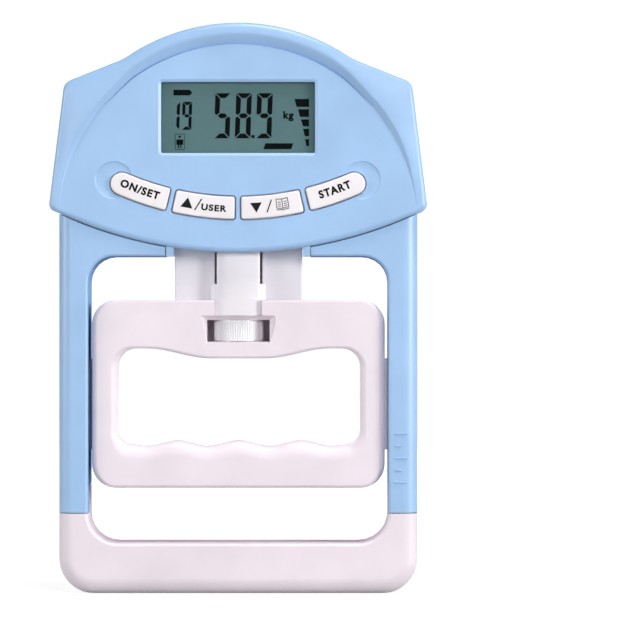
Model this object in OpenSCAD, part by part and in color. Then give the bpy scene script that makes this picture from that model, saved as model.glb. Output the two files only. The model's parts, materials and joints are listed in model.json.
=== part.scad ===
// Electronic hand dynamometer: a frame with a head and a palm bar, and an inner grip that
// hangs from a load cell on a screw. X is to the right, Y to the back and Z up.
// The origin is under the middle of the palm bar, on the surface that it stands on.

/* [Frame] */
// Gap between the grip and each arm
side_gap = 1.2; // [0.9:0.1:1.6]
// Thickness of the arms and the palm bar, front to back
frame_t = 24; // [23:0.5:26]
// Width of each arm, seen from the front
arm_w = 10; // [9.6:0.1:10.6]
// Wall of the arm and palm bar mouldings
arm_wall = 2; // [1.6:0.1:2.2]
// Height of the palm bar at its middle
palm_h = 17.2; // [16.5:0.1:19]
// Radius of the palm bar's outer bottom corners
palm_corner_r = 12; // [9:0.5:13]
// Radius of the palm bar's inner corners
palm_inner_r = 10; // [7:0.5:11]
// Height of the seam between the arms and the palm bar over the bar, at the front
front_seam_rise = 10.3; // [9.8:0.1:14]
// Height of the same seam at the back
rear_seam_rise = 19.5; // [17:0.1:22]
// Gap between the palm bar and the grip at rest
palm_gap = 18.8; // [18:0.1:19.6]
// Gap between the grip at rest and the top of the opening
top_gap = 14.9; // [14.5:0.1:17]
// Radius of the opening's top corners
opening_r = 8.8; // [5:0.2:11]
// Rounding of the frame's outer edges
frame_edge_r = 4.5; // [2:0.1:5]

/* [Head] */
// Thickness of the head, front to back
head_t = 30; // [29:0.2:33]
// How far the head's lower corners stand out past the arms
head_over = 3.4; // [3.1:0.1:5.6]
// How far the head's upper corners lie inside the arms' outer faces
head_draft = 2; // [1.2:0.1:3]
// Radius of the arch over the head
dome_r = 67.7; // [66.8:0.1:69]
// Angle on the arch where the straight shoulder begins
shoulder_a = 54.9; // [54:0.1:56]
// Height of the upper corners over the frame's opening
shoulder_rise = 59.2; // [58:0.1:60]
// Height of the lower corners over the ends of the lower edge
corner_rise = 1.4; // [0.8:0.1:3]
// Radius of the head's curved lower edge
lip_r = 145; // [135:1:155]
// Height of the lower edge over the frame's opening, at the middle
lip_rise = 1.3; // [0.8:0.1:2]
// Wall of the head's mouldings
head_wall = 2.2; // [1.8:0.1:2.4]
// Depth of the face panel behind the rim
face_sink = 1.4; // [1:0.1:1.8]
// Width of the raised rim
rim_w = 7.3; // [6:0.1:8]

/* [Screen] */
// Width of the screen's opening
screen_w = 52.4; // [48:0.2:54]
// Height of the screen's opening
screen_h = 24.1; // [20:0.1:25]
// Height of the screen's middle over the frame's opening
screen_rise = 47.2; // [46.5:0.1:48.5]
// Thickness of the clear lens
lens_t = 1; // [0.8:0.1:1.2]
// Thickness of the liquid crystal panel
lcd_t = 2.4; // [2:0.1:2.6]
// Thickness of the circuit board
board_t = 1.6; // [1:0.1:1.8]

/* [Keys] */
// Radius of the row of keys
key_row_r = 107; // [100:1:115]
// Height of the row's lowest point over the frame's opening
key_row_rise = 16.4; // [16:0.1:17.2]
// Height of one key
key_h = 7.6; // [6.5:0.1:8]
// Length of an inner key along the row
key_inner_len = 20.6; // [18:0.1:21]
// Length of an outer key along the row, with its round end
key_outer_len = 21; // [18:0.1:21.6]
// Gap between keys
key_gap = 2.3; // [2.2:0.1:3.2]
// How far a key is pressed
key_travel = 0.6; // [0.3:0.1:0.8]
// How far a key stands out of the face panel
key_proud = 0.6; // [0.4:0.1:1]

/* [Grip] */
// Width of the grip
grip_w = 100; // [97:0.1:100.6]
// Height of the grip
grip_h = 64.1; // [63.4:0.1:65]
// Thickness of the grip, front to back
grip_t = 19; // [18.4:0.2:21]
// Radius of the grip's corners
grip_corner_r = 8.2; // [6:0.2:9]
// Width of the grip's side bars
grip_side = 8.4; // [8:0.1:9.5]
// Height of the lower bar under a finger groove
grip_bar = 14; // [13.6:0.1:15]
// Depth of the finger grooves
groove_d = 1.9; // [1:0.1:2.4]
// Distance between finger grooves
groove_pitch = 21.3; // [20:0.1:22]
// Wall of the grip's mouldings
grip_wall = 2.4; // [1.8:0.1:2.6]
// Height of the upper bar at its sides
upper_bar = 16.5; // [16:0.1:17.5]
// How much deeper the upper bar is at its middle
upper_dip = 3.4; // [3:0.1:4.4]
// How far the grip can be lowered from rest
adjust_down = 5.5; // [3:0.1:5.9]
// How far the grip can be raised from rest
adjust_up = 10; // [8:0.1:10.2]
// How far a full squeeze pulls the grip down
squeeze = 0.4; // [0.2:0.05:0.5]

/* [Knob and screw] */
// Diameter of the thumbwheel
knob_d = 17; // [15:0.2:17.6]
// Width of the knob's window
knob_win_w = 21.4; // [20:0.1:23]
// Height of the knob's window
knob_win_h = 7.4; // [6.5:0.1:7.8]
// Height of the window's ceiling under the grip's top
knob_win_drop = 6.8; // [6.5:0.1:7.4]
// Diameter of the adjusting screw
screw_d = 6; // [5:0.5:6]
// Diameter of the draw tube
tube_d = 10; // [9:0.2:10.2]
// Number of ridges on the thumbwheel
knurls = 40; // [24:1:48]

/* [Neck] */
// Width of the neck
neck_w = 43.6; // [40:0.2:44]
// Thickness of the neck plates
neck_t = 8; // [7:0.2:9]
// Width of the sleeve round the screw
sleeve_w = 14.8; // [14.2:0.1:15.2]
// Width of the slots beside the sleeve
neck_slot = 0.8; // [0.6:0.1:1.2]
// How far the neck reaches into the head at rest
neck_h = 10.5; // [9:0.1:11]

/* [Load path] */
// Thickness of the steel strip in the frame
strip_t = 3; // [2:0.1:3]
// Width of the steel strip
strip_w = 12; // [10:0.2:12.4]
// Thickness of the load bracket
bracket_t = 4; // [3:0.1:4.4]
// Height of the load cell
cell_h = 12; // [10:0.1:12.6]
// Length of the load cell
cell_w = 40; // [36:0.5:44]

/* [Batteries] */
// Diameter of one AAA cell
battery_d = 10.5; // [10:0.1:10.6]
// Length of one AAA cell
battery_l = 44.5; // [43.5:0.1:44.8]

/* [Hidden] */
$fn = 48;

// Colours
blue = [0.65, 0.79, 0.93];
pink_white = [0.93, 0.89, 0.92];
cool_white = [0.91, 0.90, 0.93];
steel = [0.62, 0.63, 0.65];
brass = [0.78, 0.66, 0.36];
board_green = [0.13, 0.36, 0.22];
black = [0.12, 0.12, 0.13];

// Clearances
fit = 0.1;       // parts that sit in one another
slide = 0.4;     // parts that slide past one another
bearing = 0.05;  // the screw in its bores
seam = 0.15;     // half of the shadow line between mouldings
eps = 0.02;      // overshoot of a cut past the face it opens

// Frame
far = 400;               // past everything
arm_in = grip_w / 2 + side_gap;
arm_out = arm_in + arm_w;
half_t = frame_t / 2;
grip_z = palm_h + palm_gap;
grip_top = grip_z + grip_h;
opening_top = grip_top + top_gap;
front_seam_z = palm_h + front_seam_rise;
rear_seam_z = palm_h + rear_seam_rise;
web_x = 24.8;            // inner end of the web that joins an arm to the head
arm_screw_x = arm_in - 7.2;
arm_screw_z = opening_top + 4.2;
arm_screw_r = 2.1;       // head of the screw in an arm's web
mark_pitch = 4.13;       // scale of the grip's setting, on the right arm
mark_z = grip_z + 2;
mark_x = arm_in + 2;
mark_len = [4.4, 2.5];
mark_w = 0.5;
mark_proud = 0.3;

// Screws in plastic
pilot_r = 1.25;          // screw holes in plastic
thread_r = 1.2;          // shank of a plastics screw
shank_hole_r = 1.6;      // clearance hole for the shank
boss_r = 3.8;
small_boss_r = 2.8;      // bosses of the arm and grip screws
screw_head_r = 2.5;
screw_head_h = 1.8;
head_clear = 0.25;       // round a screw's head in its seat
frame_seat = 3;          // depth of the screw seats behind the frame's back
grip_seat = 2.6;         // depth of the screw seats behind the grip's back

// Head
half_head = head_t / 2;
face_y = face_sink - half_head;             // front of the face panel
inner_y = face_y + head_wall;               // back of the face panel's wall
dome_z = opening_top + 11.8;
lip_z = opening_top + lip_rise + lip_r;     // centre of the lower edge's arc
lip_a = asin((arm_out - 0.5) / lip_r);      // half of its angle
corner_z = lip_z - lip_r * cos(lip_a) + corner_rise;
face_r = dome_r - rim_w;
neck_gap = 0.5;                             // round the neck where it enters the head
housing_screw_x = arm_out - 12.7;
housing_screw_z = [opening_top + 16.4, opening_top + 55];
head_seat = head_wall + 8;                  // depth of the screw seats behind the head's back

// Screen, board and keys
screen_z = opening_top + screen_rise;
lens_over = 1.5;                            // the lens behind the edge of its opening
board_y = -8;                               // front of the board
board_w = 84;
board_z = [opening_top + 12, opening_top + 62];
lcd_over = 2.3;                             // the panel past the screen's opening
board_holes = [[37, opening_top + 54], [37.5, opening_top + 35]];
board_screw_r = 0.9;
board_screw_head = [1.9, 1.2];              // radius and height
board_boss_r = 2.2;
chip_x = 31;
chip_z = opening_top + 31;
key_z = opening_top + key_row_rise + key_row_r;
key_clear = 0.25;
key_flange = 0.8;
dimple_d = 0.8;                             // depth and radius of the finger dimples
dimple_r = 6.5;
dimple_ball = (dimple_r * dimple_r + dimple_d * dimple_d) / 2 / dimple_d;
tact_w = 4.5;
tact_h = 0.9;
tact_button = 0.4;                          // height of a switch's button
inner_a = [key_gap / 2, key_gap / 2 + key_inner_len];
outer_a = [inner_a[1] + key_gap, inner_a[1] + key_gap + key_outer_len];
inner_tact = 13.5;                          // clear of the neck's sleeve
outer_tact = (outer_a[0] + outer_a[1]) / 2;

// Grip
half_grip = grip_t / 2;
grip_edge_r = 3.5;
win_x = grip_w / 2 - grip_side;
win_top = grip_top - upper_bar;
win_low = grip_z + grip_bar;
knob_top = grip_top - knob_win_drop;        // ceiling of the knob's window
knob_low = knob_top - knob_win_h;
knob_gap = 0.1;
bevel = 2;                                  // bevelled surround of the knob's window
bevel_z = 1.4;                              // the same above and below the window
core_x = knob_win_w / 2 + bevel + 1;        // solid part of the upper bar round the knob
grip_screw_r = 2.2;                         // head of a grip screw
grip_screw_xz = [[30, grip_z + 7], [30, grip_top - 8.2]];
guide_w = 7.2;
guide_z = [grip_z + 13.1, grip_z + 44.1];
guide_spare = 3;                            // the slots run on past the highest place of the guides
guide_slot_z = [guide_z[0] - adjust_down - squeeze - slide, guide_z[1] + adjust_up + guide_spare];

// Screw, tube and neck
screw_r = screw_d / 2;
tube_r = tube_d / 2;
collar_r = 4.5;                             // collar of the screw inside the knob
washer_t = 0.8;
washer_r = 6;
neck_top = opening_top + neck_h;
sleeve_y = 0.7 - half_grip;                 // front of the sleeve
flare_w = 18.7;
flare_top = grip_top + 5.6;
foot_over = 2.4;                            // foot of the neck past its sides
foot_z = grip_top - 5.4;
tube_bottom = foot_z + 2.3 + adjust_up;
nut_len = 7;                                // threaded length inside the tube
screw_top = tube_bottom + nut_len + adjust_down;
bracket_z = neck_top + adjust_up + 1;
tube_top = bracket_z - 0.3;
bolt_bottom = screw_top + adjust_up + 0.5;
cell_z = bracket_z + bracket_t;
cell_top = cell_z + cell_h;
hanger_washer_t = 1.2;
bolt_head_h = 4.4;
cell_screw_x = cell_w / 2 - 3.5;
cell_foot = 7;                              // length of the load cell's feet
bolt_gap = 0.3;                             // round the hanger bolt and the adjusting screw
steel_screw_r = 2;                          // the screws of load cell and bracket
steel_hole_r = 2.1;
countersink = [3.5, 1.5];                   // radius and depth of the cell screws' heads

// Steel strip
strip_out = arm_out - arm_wall - 1;         // outer face of a leg
strip_low = arm_wall + 1.5;                 // underside of the strip in the palm bar
strip_bend = 10;                            // outer radius of its bends
strip_gap = 0.2;                            // round the legs in the mouldings
palm_screw_x = 34;                          // outer screws of the palm bar
palm_screw_z = strip_low + strip_t + 4.6;
strip_top = cell_z + 9.5;
tab_t = 3;                                  // upturned ends of the load bracket
bracket_screw_z = cell_z + 5;

// Batteries
battery_y = half_head - head_wall - 0.5 - battery_d / 2;
battery_z = [cell_top + hanger_washer_t + bolt_head_h + 2.2 + battery_d / 2 + 1.6,
             cell_top + hanger_washer_t + bolt_head_h + 2.2 + 1.5 * battery_d + 2.1];
bay_wall = 1.4;
contact_t = 0.4;
contact_pip = 0.6;                          // raised middle of a contact plate
spring_l = 5;
spring_turns = 6;
button_h = 0.9;                             // height of a cell's button
battery_gap = 0.4;
bay_x = (battery_l + spring_l + contact_pip + 2 * contact_t + fit) / 2;
battery_x = bay_x - contact_t - contact_pip - fit - battery_l / 2;
bay_z = [battery_z[0] - battery_d / 2 - battery_gap, battery_z[1] + battery_d / 2 + battery_gap];
bay_y = battery_y - battery_d / 2 - battery_gap;
tail_y = [bay_y + 1.3, bay_y + 2.5];        // tails of the contacts
tail_z = [bay_z[0] + 1.8, bay_z[0] + 4.4];
lead_x = bay_x + bay_wall + 1.8;
door_t = 1.8;
door_gap = 0.3;
door_tab = [10, 16];                        // the two hooks, from and to, each side

// A point on a circle round c
function on(c, r, a) = c + r * [cos(a), sin(a)];
// Points of an arc, both ends included
function arc(c, r, a0, a1, n) = [for (i = [0:n]) on(c, r, a0 + (a1 - a0) * i / n)];
function unit(v) = v / norm(v);
// An angle brought to between -180 and 180 degrees
function wrap(a) = a > 180 ? a - 360 : a < -180 ? a + 360 : a;
// The corner b between a and c, rounded to radius r
function corner(a, b, c, r, n = 6) =
    let (u = unit(a - b), v = unit(c - b), half = acos(u * v) / 2,
         m = b + unit(u + v) * r / sin(half),
         p = b + u * r / tan(half) - m, q = b + v * r / tan(half) - m,
         a0 = atan2(p[1], p[0]), turn = wrap(atan2(q[1], q[0]) - a0))
    arc(m, r, a0, a0 + turn, n);
// The right half of an outline and its mirror image
function both_sides(half) =
    concat(half, [for (i = [len(half) - 1:-1:0]) if (half[i][0] > 0.001) [-half[i][0], half[i][1]]]);

// A front-view outline made solid from depth y0 to y1
module slab(y0, y1) {
    translate([0, y1, 0]) rotate([90, 0, 0]) linear_extrude(y1 - y0) children();
}

module box(x, y, z) {
    translate([x[0], y[0], z[0]]) cube([x[1] - x[0], y[1] - y[0], z[1] - z[0]]);
}

// A cylinder along Y
module pin_y(x, z, r, y0, y1) {
    translate([x, y1, z]) rotate([90, 0, 0]) cylinder(r = r, h = y1 - y0);
}

// A cylinder along Z
module pin_z(r, z0, z1) {
    translate([0, 0, z0]) cylinder(r = r, h = z1 - z0);
}

// The children and their mirror image
module both() {
    children();
    mirror([1, 0, 0]) children();
}

module both_2d() {
    children();
    mirror([1, 0]) children();
}

module rounded_box_2d(x, z, r) {
    translate([x[0] + r, z[0] + r]) offset(r = r, $fn = 32)
        square([x[1] - x[0] - 2 * r, z[1] - z[0] - 2 * r]);
}

// ---- Outlines, seen from the front ----

module head_2d() {
    upper = [arm_out - head_draft, opening_top + shoulder_rise];
    lower = [arm_out + head_over, corner_z];
    start = on([0, dome_z], dome_r, shoulder_a);
    tail = on([0, lip_z], lip_r, lip_a - 90);
    polygon(both_sides(concat(
        arc([0, dome_z], dome_r, 90, shoulder_a, 14),
        corner(start, upper, lower, 4),
        corner(upper, lower, tail, 2.5),
        arc([0, lip_z], lip_r, lip_a - 90, -90, 14))));
}

module opening_2d() {
    polygon(both_sides(concat(
        [[0, opening_top]],
        corner([0, opening_top], [arm_in, opening_top], [arm_in, palm_h], opening_r),
        corner([arm_in, opening_top], [arm_in, palm_h], [0, palm_h], palm_inner_r),
        [[0, palm_h]])));
}

module frame_2d() {
    polygon(both_sides(concat(
        [[0, opening_top + 20], [arm_out, opening_top + 20]],
        corner([arm_out, opening_top], [arm_out, 0], [0, 0], palm_corner_r, 8),
        [[0, 0]])));
}

// Both arms with their webs, from height z0 up to the lip of the head
module arms_2d(z0) {
    difference() {
        frame_2d();
        opening_2d();
        translate([0, lip_z]) circle(r = lip_r + seam, $fn = 360);
        translate([-web_x, opening_top - 10]) square([2 * web_x, 40]);
        translate([-arm_out - 1, -1]) square([2 * arm_out + 2, z0 + 1]);
    }
}

module palm_2d(z1) {
    difference() {
        frame_2d();
        opening_2d();
        translate([-arm_out - 1, z1]) square([2 * arm_out + 2, opening_top + 40]);
    }
}

module one_side(side) {
    intersection() {
        children();
        translate([side > 0 ? 0 : -far, 0]) square(far);
    }
}

// The frame's rounded outer edges, which trim arms and palm bar
module frame_edges() {
    intersection() {
        linear_extrude(opening_top + 40)
            rounded_box_2d([-arm_out, arm_out], [-half_t, half_t], frame_edge_r);
        rotate([90, 0, 90]) translate([0, 0, -arm_out]) linear_extrude(2 * arm_out)
            rounded_box_2d([-half_t, half_t], [0, far], frame_edge_r);
    }
}

// ---- Frame mouldings ----

// Space inside the arms, open downwards
module arm_cavity() {
    slab(arm_wall - half_t, half_t - arm_wall) offset(delta = -arm_wall) arms_2d(palm_h);
}

// Slots in the inner walls, in which the grip's guides run
module guide_slots() {
    both() box([arm_in - 1, arm_in + arm_wall + 0.5],
               [-guide_w / 2 - slide, guide_w / 2 + slide], guide_slot_z);
}

// Room for the legs of the steel strip
module leg_ways() {
    both() box([strip_out - strip_t - strip_gap, strip_out + strip_gap],
               [-strip_w / 2 - strip_gap, strip_w / 2 + strip_gap], [palm_h, strip_top + 1]);
}

// The opening under the head for neck and sleeve
module neck_way() {
    box([-neck_w / 2 - neck_gap, neck_w / 2 + neck_gap],
        [-neck_t / 2 - neck_gap, neck_t / 2 + neck_gap], [opening_top - 1, neck_top]);
    box([-sleeve_w / 2 - neck_gap, sleeve_w / 2 + neck_gap],
        [sleeve_y - neck_gap, 0], [opening_top - 1, neck_top]);
    pin_z(sleeve_w / 2 + neck_gap, opening_top - 1, neck_top);
}

// The small block of the head between the neck and the end of an arm's web
module web_block_2d() {
    difference() {
        translate([neck_w / 2 + neck_gap, opening_top])
            square([web_x - 2 * seam - neck_w / 2 - neck_gap, 8]);
        translate([0, lip_z]) circle(r = lip_r - 0.5, $fn = 360);
    }
}

module arm_cover(side) {
    color(blue) difference() {
        union() {
            difference() {
                intersection() {
                    slab(-half_t, 0) one_side(side) arms_2d(front_seam_z + seam);
                    frame_edges();
                }
                arm_cavity();
            }
            pin_y(side * arm_screw_x, arm_screw_z, small_boss_r, 0.5 - half_t, 0);
        }
        pin_y(side * arm_screw_x, arm_screw_z, pilot_r, arm_wall - half_t, eps);
        guide_slots();
        leg_ways();
    }
}

module left_arm_cover() {
    arm_cover(-1);
}

module right_arm_cover() {
    arm_cover(1);
    color(blue) for (i = [0:4]) translate([mark_x, 0, mark_z + i * mark_pitch])
        box([0, mark_len[i % 2]], [-half_t - mark_proud, eps - half_t], [-mark_w / 2, mark_w / 2]);
}

// Places of the palm bar's three screws
module at_palm_screws() {
    for (x = [-palm_screw_x, 0, palm_screw_x]) translate([x, 0, palm_screw_z]) children();
}

module palm_half(y0, y1, seam_z) {
    difference() {
        intersection() {
            slab(y0, y1) palm_2d(seam_z);
            frame_edges();
        }
        slab(arm_wall - half_t, half_t - arm_wall) offset(delta = -arm_wall) palm_2d(rear_seam_z + 10);
    }
    at_palm_screws() pin_y(0, 0, boss_r, y0 < 0 ? y0 + 1 : 0, y1 > 0 ? y1 - 1 : 0);
}

module palm_bar_front() {
    color(pink_white) difference() {
        palm_half(-half_t, 0, front_seam_z - seam);
        at_palm_screws() pin_y(0, 0, pilot_r, 3 - half_t, eps);
    }
}

module palm_bar_rear() {
    color(pink_white) difference() {
        palm_half(0, half_t, rear_seam_z - seam);
        at_palm_screws() {
            pin_y(0, 0, shank_hole_r, -eps, half_t);
            pin_y(0, 0, screw_head_r + head_clear, half_t - frame_seat, half_t + eps);
        }
    }
}

// A screw for plastics, with a cross recess, its head at the back
module plastics_screw(tip_y, seat_y, head_r) {
    top = seat_y + screw_head_h;
    pin_y(0, 0, thread_r, tip_y, seat_y + eps);
    difference() {
        pin_y(0, 0, head_r, seat_y, top);
        for (a = [0, 90]) rotate([0, a, 0]) box([-1.5, 1.5], [top - 0.9, top + eps], [-0.3, 0.3]);
    }
}

module palm_screws() {
    color(steel) at_palm_screws() plastics_screw(4 - half_t, half_t - frame_seat, screw_head_r);
}

module arm_screws() {
    color(steel) both() translate([arm_screw_x, 0, arm_screw_z])
        plastics_screw(arm_wall + 1 - half_t, half_t - frame_seat, arm_screw_r);
}

// ---- Head ----

// Bosses of the housing screws
module at_housing_screws() {
    both() for (z = housing_screw_z) translate([housing_screw_x, 0, z]) children();
}

// The rolled rim along the arch, turned round the arch's centre
module rim() {
    crest = 0.55 * rim_w;
    outer = dome_r - 0.1;    // just inside the head's own edge
    translate([0, 0, dome_z]) rotate([90, 0, 0])
        rotate_extrude(angle = 2 * (90 - shoulder_a), start = shoulder_a, $fn = 128)
            polygon(concat(
                [[face_r, -face_y - 0.5], [face_r, -face_y]],
                [for (i = [1:5]) [face_r + (outer - face_r - crest) * i / 5,
                                  -face_y + face_sink * (1 - cos(180 * i / 5)) / 2]],
                [for (i = [1:6]) [outer - crest * (1 - sin(15 * i)),
                                  half_head - face_sink * (1 - cos(15 * i))]],
                [[outer, -face_y - 0.5]]));
}

module key_2d(span, round_end, grow) {
    c = [0, key_z];
    half = key_h / 2;
    deg = 180 / PI / key_row_r;
    a = [span[0] * deg - 90, (span[1] - (round_end ? half : 0)) * deg - 90];
    offset(delta = grow) union() {
        polygon(concat(arc(c, key_row_r - half, a[0], a[1], 6), arc(c, key_row_r + half, a[1], a[0], 6)));
        if (round_end) translate(on(c, key_row_r, a[1])) circle(r = half, $fn = 32);
    }
}

// Place on the row of keys, at a distance along it
function key_place(s) = on([0, key_z], key_row_r, s * 180 / PI / key_row_r - 90);

module head_cover() {
    color(blue) difference() {
        union() {
            difference() {
                union() {
                    slab(face_y, 0) head_2d();
                    rim();
                }
                slab(inner_y, 1) offset(delta = -head_wall) head_2d();
            }
            slab(-half_t, 0) both_2d() web_block_2d();
            at_housing_screws() pin_y(0, 0, boss_r, inner_y - 1, 0);
            both() for (p = board_holes) pin_y(p[0], p[1], board_boss_r, inner_y - 1, board_y);
        }
        // screen opening, with a bevelled edge and a seat for the lens
        slab(-half_head, 0) rounded_box_2d([-screen_w / 2, screen_w / 2],
            [screen_z - screen_h / 2, screen_z + screen_h / 2], 0.5);
        slab(inner_y - lens_t, 0) rounded_box_2d([-screen_w / 2 - lens_over, screen_w / 2 + lens_over],
            [screen_z - screen_h / 2 - lens_over, screen_z + screen_h / 2 + lens_over], 0.8);
        // key holes and the finger dimples at the ends of their row
        slab(-half_head, inner_y + eps) both_2d() {
            key_2d(inner_a, false, key_clear);
            key_2d(outer_a, true, key_clear);
        }
        both() translate([key_place(outer_a[1])[0] - 1.5, face_y + dimple_d - dimple_ball,
                          key_place(outer_a[1])[1]]) sphere(r = dimple_ball, $fn = 64);
        at_housing_screws() pin_y(0, 0, pilot_r, inner_y + 1, eps);
        both() for (p = board_holes)
            pin_y(p[0], p[1], board_screw_r + bearing, inner_y - 0.8, board_y + eps);
        neck_way();
        leg_ways();
    }
}

module rear_housing() {
    color(blue) difference() {
        union() {
            difference() {
                union() {
                    slab(0, half_head) head_2d();
                    // the arms, which run on into the head
                    intersection() {
                        slab(0, half_t) {
                            arms_2d(rear_seam_z + seam);
                            arm_roots_2d();
                        }
                        frame_edges();
                    }
                }
                slab(-1, half_head - head_wall) offset(delta = -head_wall) head_2d();
                arm_cavity();
            }
            at_housing_screws() pin_y(0, 0, boss_r, 0, half_head - 1);
            both() pin_y(arm_screw_x, arm_screw_z, small_boss_r, 0, half_t - 0.5);
            // battery bay
            box([-bay_x - bay_wall, bay_x + bay_wall], [bay_y - bay_wall, half_head - 1],
                [bay_z[0] - bay_wall, bay_z[1] + bay_wall]);
        }
        box([-bay_x, bay_x], [bay_y, half_head + 1], bay_z);
        // pockets behind the wall for the door's hooks
        both() box([door_tab[0] - 0.3, door_tab[1] + 0.3],
                   [half_head - head_wall - 2.2, half_head - head_wall], [bay_z[0] - 3, bay_z[0] + eps]);
        at_housing_screws() {
            pin_y(0, 0, shank_hole_r, -eps, half_head);
            pin_y(0, 0, screw_head_r + head_clear, half_head - head_seat, half_head + eps);
        }
        both() {
            pin_y(arm_screw_x, arm_screw_z, shank_hole_r, -eps, half_t);
            pin_y(arm_screw_x, arm_screw_z, arm_screw_r + head_clear, half_t - frame_seat, half_t + eps);
        }
        // tails of the battery contacts pass the bay's side walls
        both() box([bay_x - eps, bay_x + bay_wall + eps], [tail_y[0] - fit, tail_y[1] + fit],
                   [tail_z[0] - fit, tail_z[1] + fit]);
        guide_slots();
        leg_ways();
        neck_way();
    }
}

// Short stretch of wall that joins the rear arms to the rear of the head across the lip's seam
module arm_roots_2d() {
    difference() {
        frame_2d();
        opening_2d();
        offset(delta = -head_wall) head_2d();
        translate([-web_x, 0]) square([2 * web_x, far]);
        translate([-arm_out - 1, -1]) square([2 * arm_out + 2, opening_top - opening_r + 1]);
        translate([-arm_out - 1, corner_z]) square([2 * arm_out + 2, far]);
        offset(delta = -arm_wall) arms_2d(palm_h);
    }
}

module housing_screws() {
    color(steel) at_housing_screws() plastics_screw(inner_y + 2, half_head - head_seat, screw_head_r);
}

module battery_door() {
    color(blue) difference() {
        union() {
            slab(half_head - door_t, half_head) rounded_box_2d([-bay_x + door_gap, bay_x - door_gap],
                [bay_z[0] + door_gap, bay_z[1] - door_gap], 0.8);
            // hooks that catch behind the housing's wall
            both() box(door_tab, [half_head - head_wall - 1.3, half_head - door_t + 0.5],
                       [bay_z[0] + door_gap, bay_z[0] + 2]);
            both() box(door_tab, [half_head - head_wall - 1.3, half_head - head_wall - 0.2],
                       [bay_z[0] - 1.2, bay_z[0] + 2]);
        }
        // finger recess at the top edge
        translate([0, half_head + 6.9, bay_z[1] - 3.2]) rotate([0, 90, 0])
            cylinder(r = 7.6, h = 14, center = true);
    }
}

// ---- Screen and electronics ----

module lens() {
    color([0.85, 0.9, 0.92, 0.4]) slab(inner_y - lens_t, inner_y)
        rounded_box_2d([-screen_w / 2 - lens_over + fit, screen_w / 2 + lens_over - fit],
            [screen_z - screen_h / 2 - lens_over + fit, screen_z + screen_h / 2 + lens_over - fit], 0.8);
}

module screen_box(grow, y0, y1) {
    box([-screen_w / 2 - grow, screen_w / 2 + grow], [y0, y1],
        [screen_z - screen_h / 2 - grow, screen_z + screen_h / 2 + grow]);
}

module lcd_panel() {
    color([0.38, 0.5, 0.48]) screen_box(lcd_over, inner_y, inner_y + lcd_t);
}

module lcd_holder() {
    color(black) difference() {
        screen_box(lcd_over + 2, inner_y, board_y);
        screen_box(lcd_over + fit, inner_y - 1, board_y + 1);
    }
}

module contact_strip() {
    color([0.75, 0.45, 0.5]) box([-screen_w / 2, screen_w / 2], [inner_y + lcd_t, board_y],
        [screen_z - screen_h / 2 - lcd_over, screen_z - screen_h / 2 - lcd_over + 2.5]);
}

module main_board() {
    color(board_green) difference() {
        box([-board_w / 2, board_w / 2], [board_y, board_y + board_t], board_z);
        // notch for the neck's sleeve at its highest
        box([-sleeve_w / 2 - 1, sleeve_w / 2 + 1], [board_y - 1, board_y + board_t + 1],
            [board_z[0] - 1, neck_top + adjust_up + 1]);
        both() for (p = board_holes)
            pin_y(p[0], p[1], board_screw_r + slide, board_y - 1, board_y + board_t + 1);
        // corners clear of the shoulders
        both() translate([board_w / 2, 0, board_z[1]]) rotate([0, 45, 0]) cube([9, 40, 9], center = true);
    }
}

module board_screws() {
    color(steel) both() for (p = board_holes) translate([p[0], 0, p[1]]) {
        pin_y(0, 0, board_screw_r, inner_y, board_y + board_t + eps);
        pin_y(0, 0, board_screw_head[0], board_y + board_t, board_y + board_t + board_screw_head[1]);
    }
}

module chips() {
    back = board_y + board_t;
    color(black) {
        intersection() {
            translate([chip_x, back - 7, chip_z]) sphere(r = 8.4);
            box([0, 60], [back, back + 3], [chip_z - 10, chip_z + 10]);
        }
        box([-chip_x - 3, -chip_x + 3], [back, back + 1.4], [chip_z - 2.5, chip_z + 2.5]);
        box([-chip_x - 2, -chip_x + 2], [back, back + 2.2], [chip_z + 5, chip_z + 9]);
    }
}

module tact_switches() {
    half = tact_w / 2;
    for (s = [-outer_tact, -inner_tact, inner_tact, outer_tact])
        translate([key_place(s)[0], 0, key_place(s)[1]]) {
            color(steel) box([-half, half], [board_y - tact_h, board_y], [-half, half]);
            color(black) pin_y(0, 0, 1, board_y - tact_h - tact_button, board_y - tact_h + eps);
        }
}

// One key: cap, flange behind the face panel and a plunger over its switch
module key(span, round_end, tact) {
    flange_y = inner_y + 0.2;
    color(cool_white) {
        slab(face_y - key_proud, flange_y + eps) key_2d(span, round_end, 0);
        slab(flange_y, flange_y + 0.8) key_2d(span, round_end, key_flange);
        pin_y(key_place(tact)[0], key_place(tact)[1], 1.4, flange_y,
              board_y - tact_h - tact_button - key_travel - bearing);
    }
}

module key_power() {
    mirror([1, 0, 0]) key(outer_a, true, outer_tact);
}

module key_up() {
    mirror([1, 0, 0]) key(inner_a, false, inner_tact);
}

module key_down() {
    key(inner_a, false, inner_tact);
}

module key_start() {
    key(outer_a, true, outer_tact);
}

// ---- Batteries ----

// One cell along X, with its button at the right end
module battery(z) {
    translate([battery_x, battery_y, z]) rotate([0, 90, 0]) {
        color([0.2, 0.45, 0.3]) translate([0, 0, -battery_l / 2])
            cylinder(r = battery_d / 2, h = battery_l - button_h);
        color(steel) translate([0, 0, battery_l / 2 - button_h]) cylinder(r = 1.9, h = button_h);
    }
}

module battery_left() {
    battery(battery_z[0]);
}

module battery_right() {
    mirror([1, 0, 0]) battery(battery_z[1]);
}

module contact_plate(z) {
    box([bay_x - contact_t, bay_x], [bay_y + 1, battery_y + 4], [z - 4.2, z + 4.2]);
}

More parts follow.
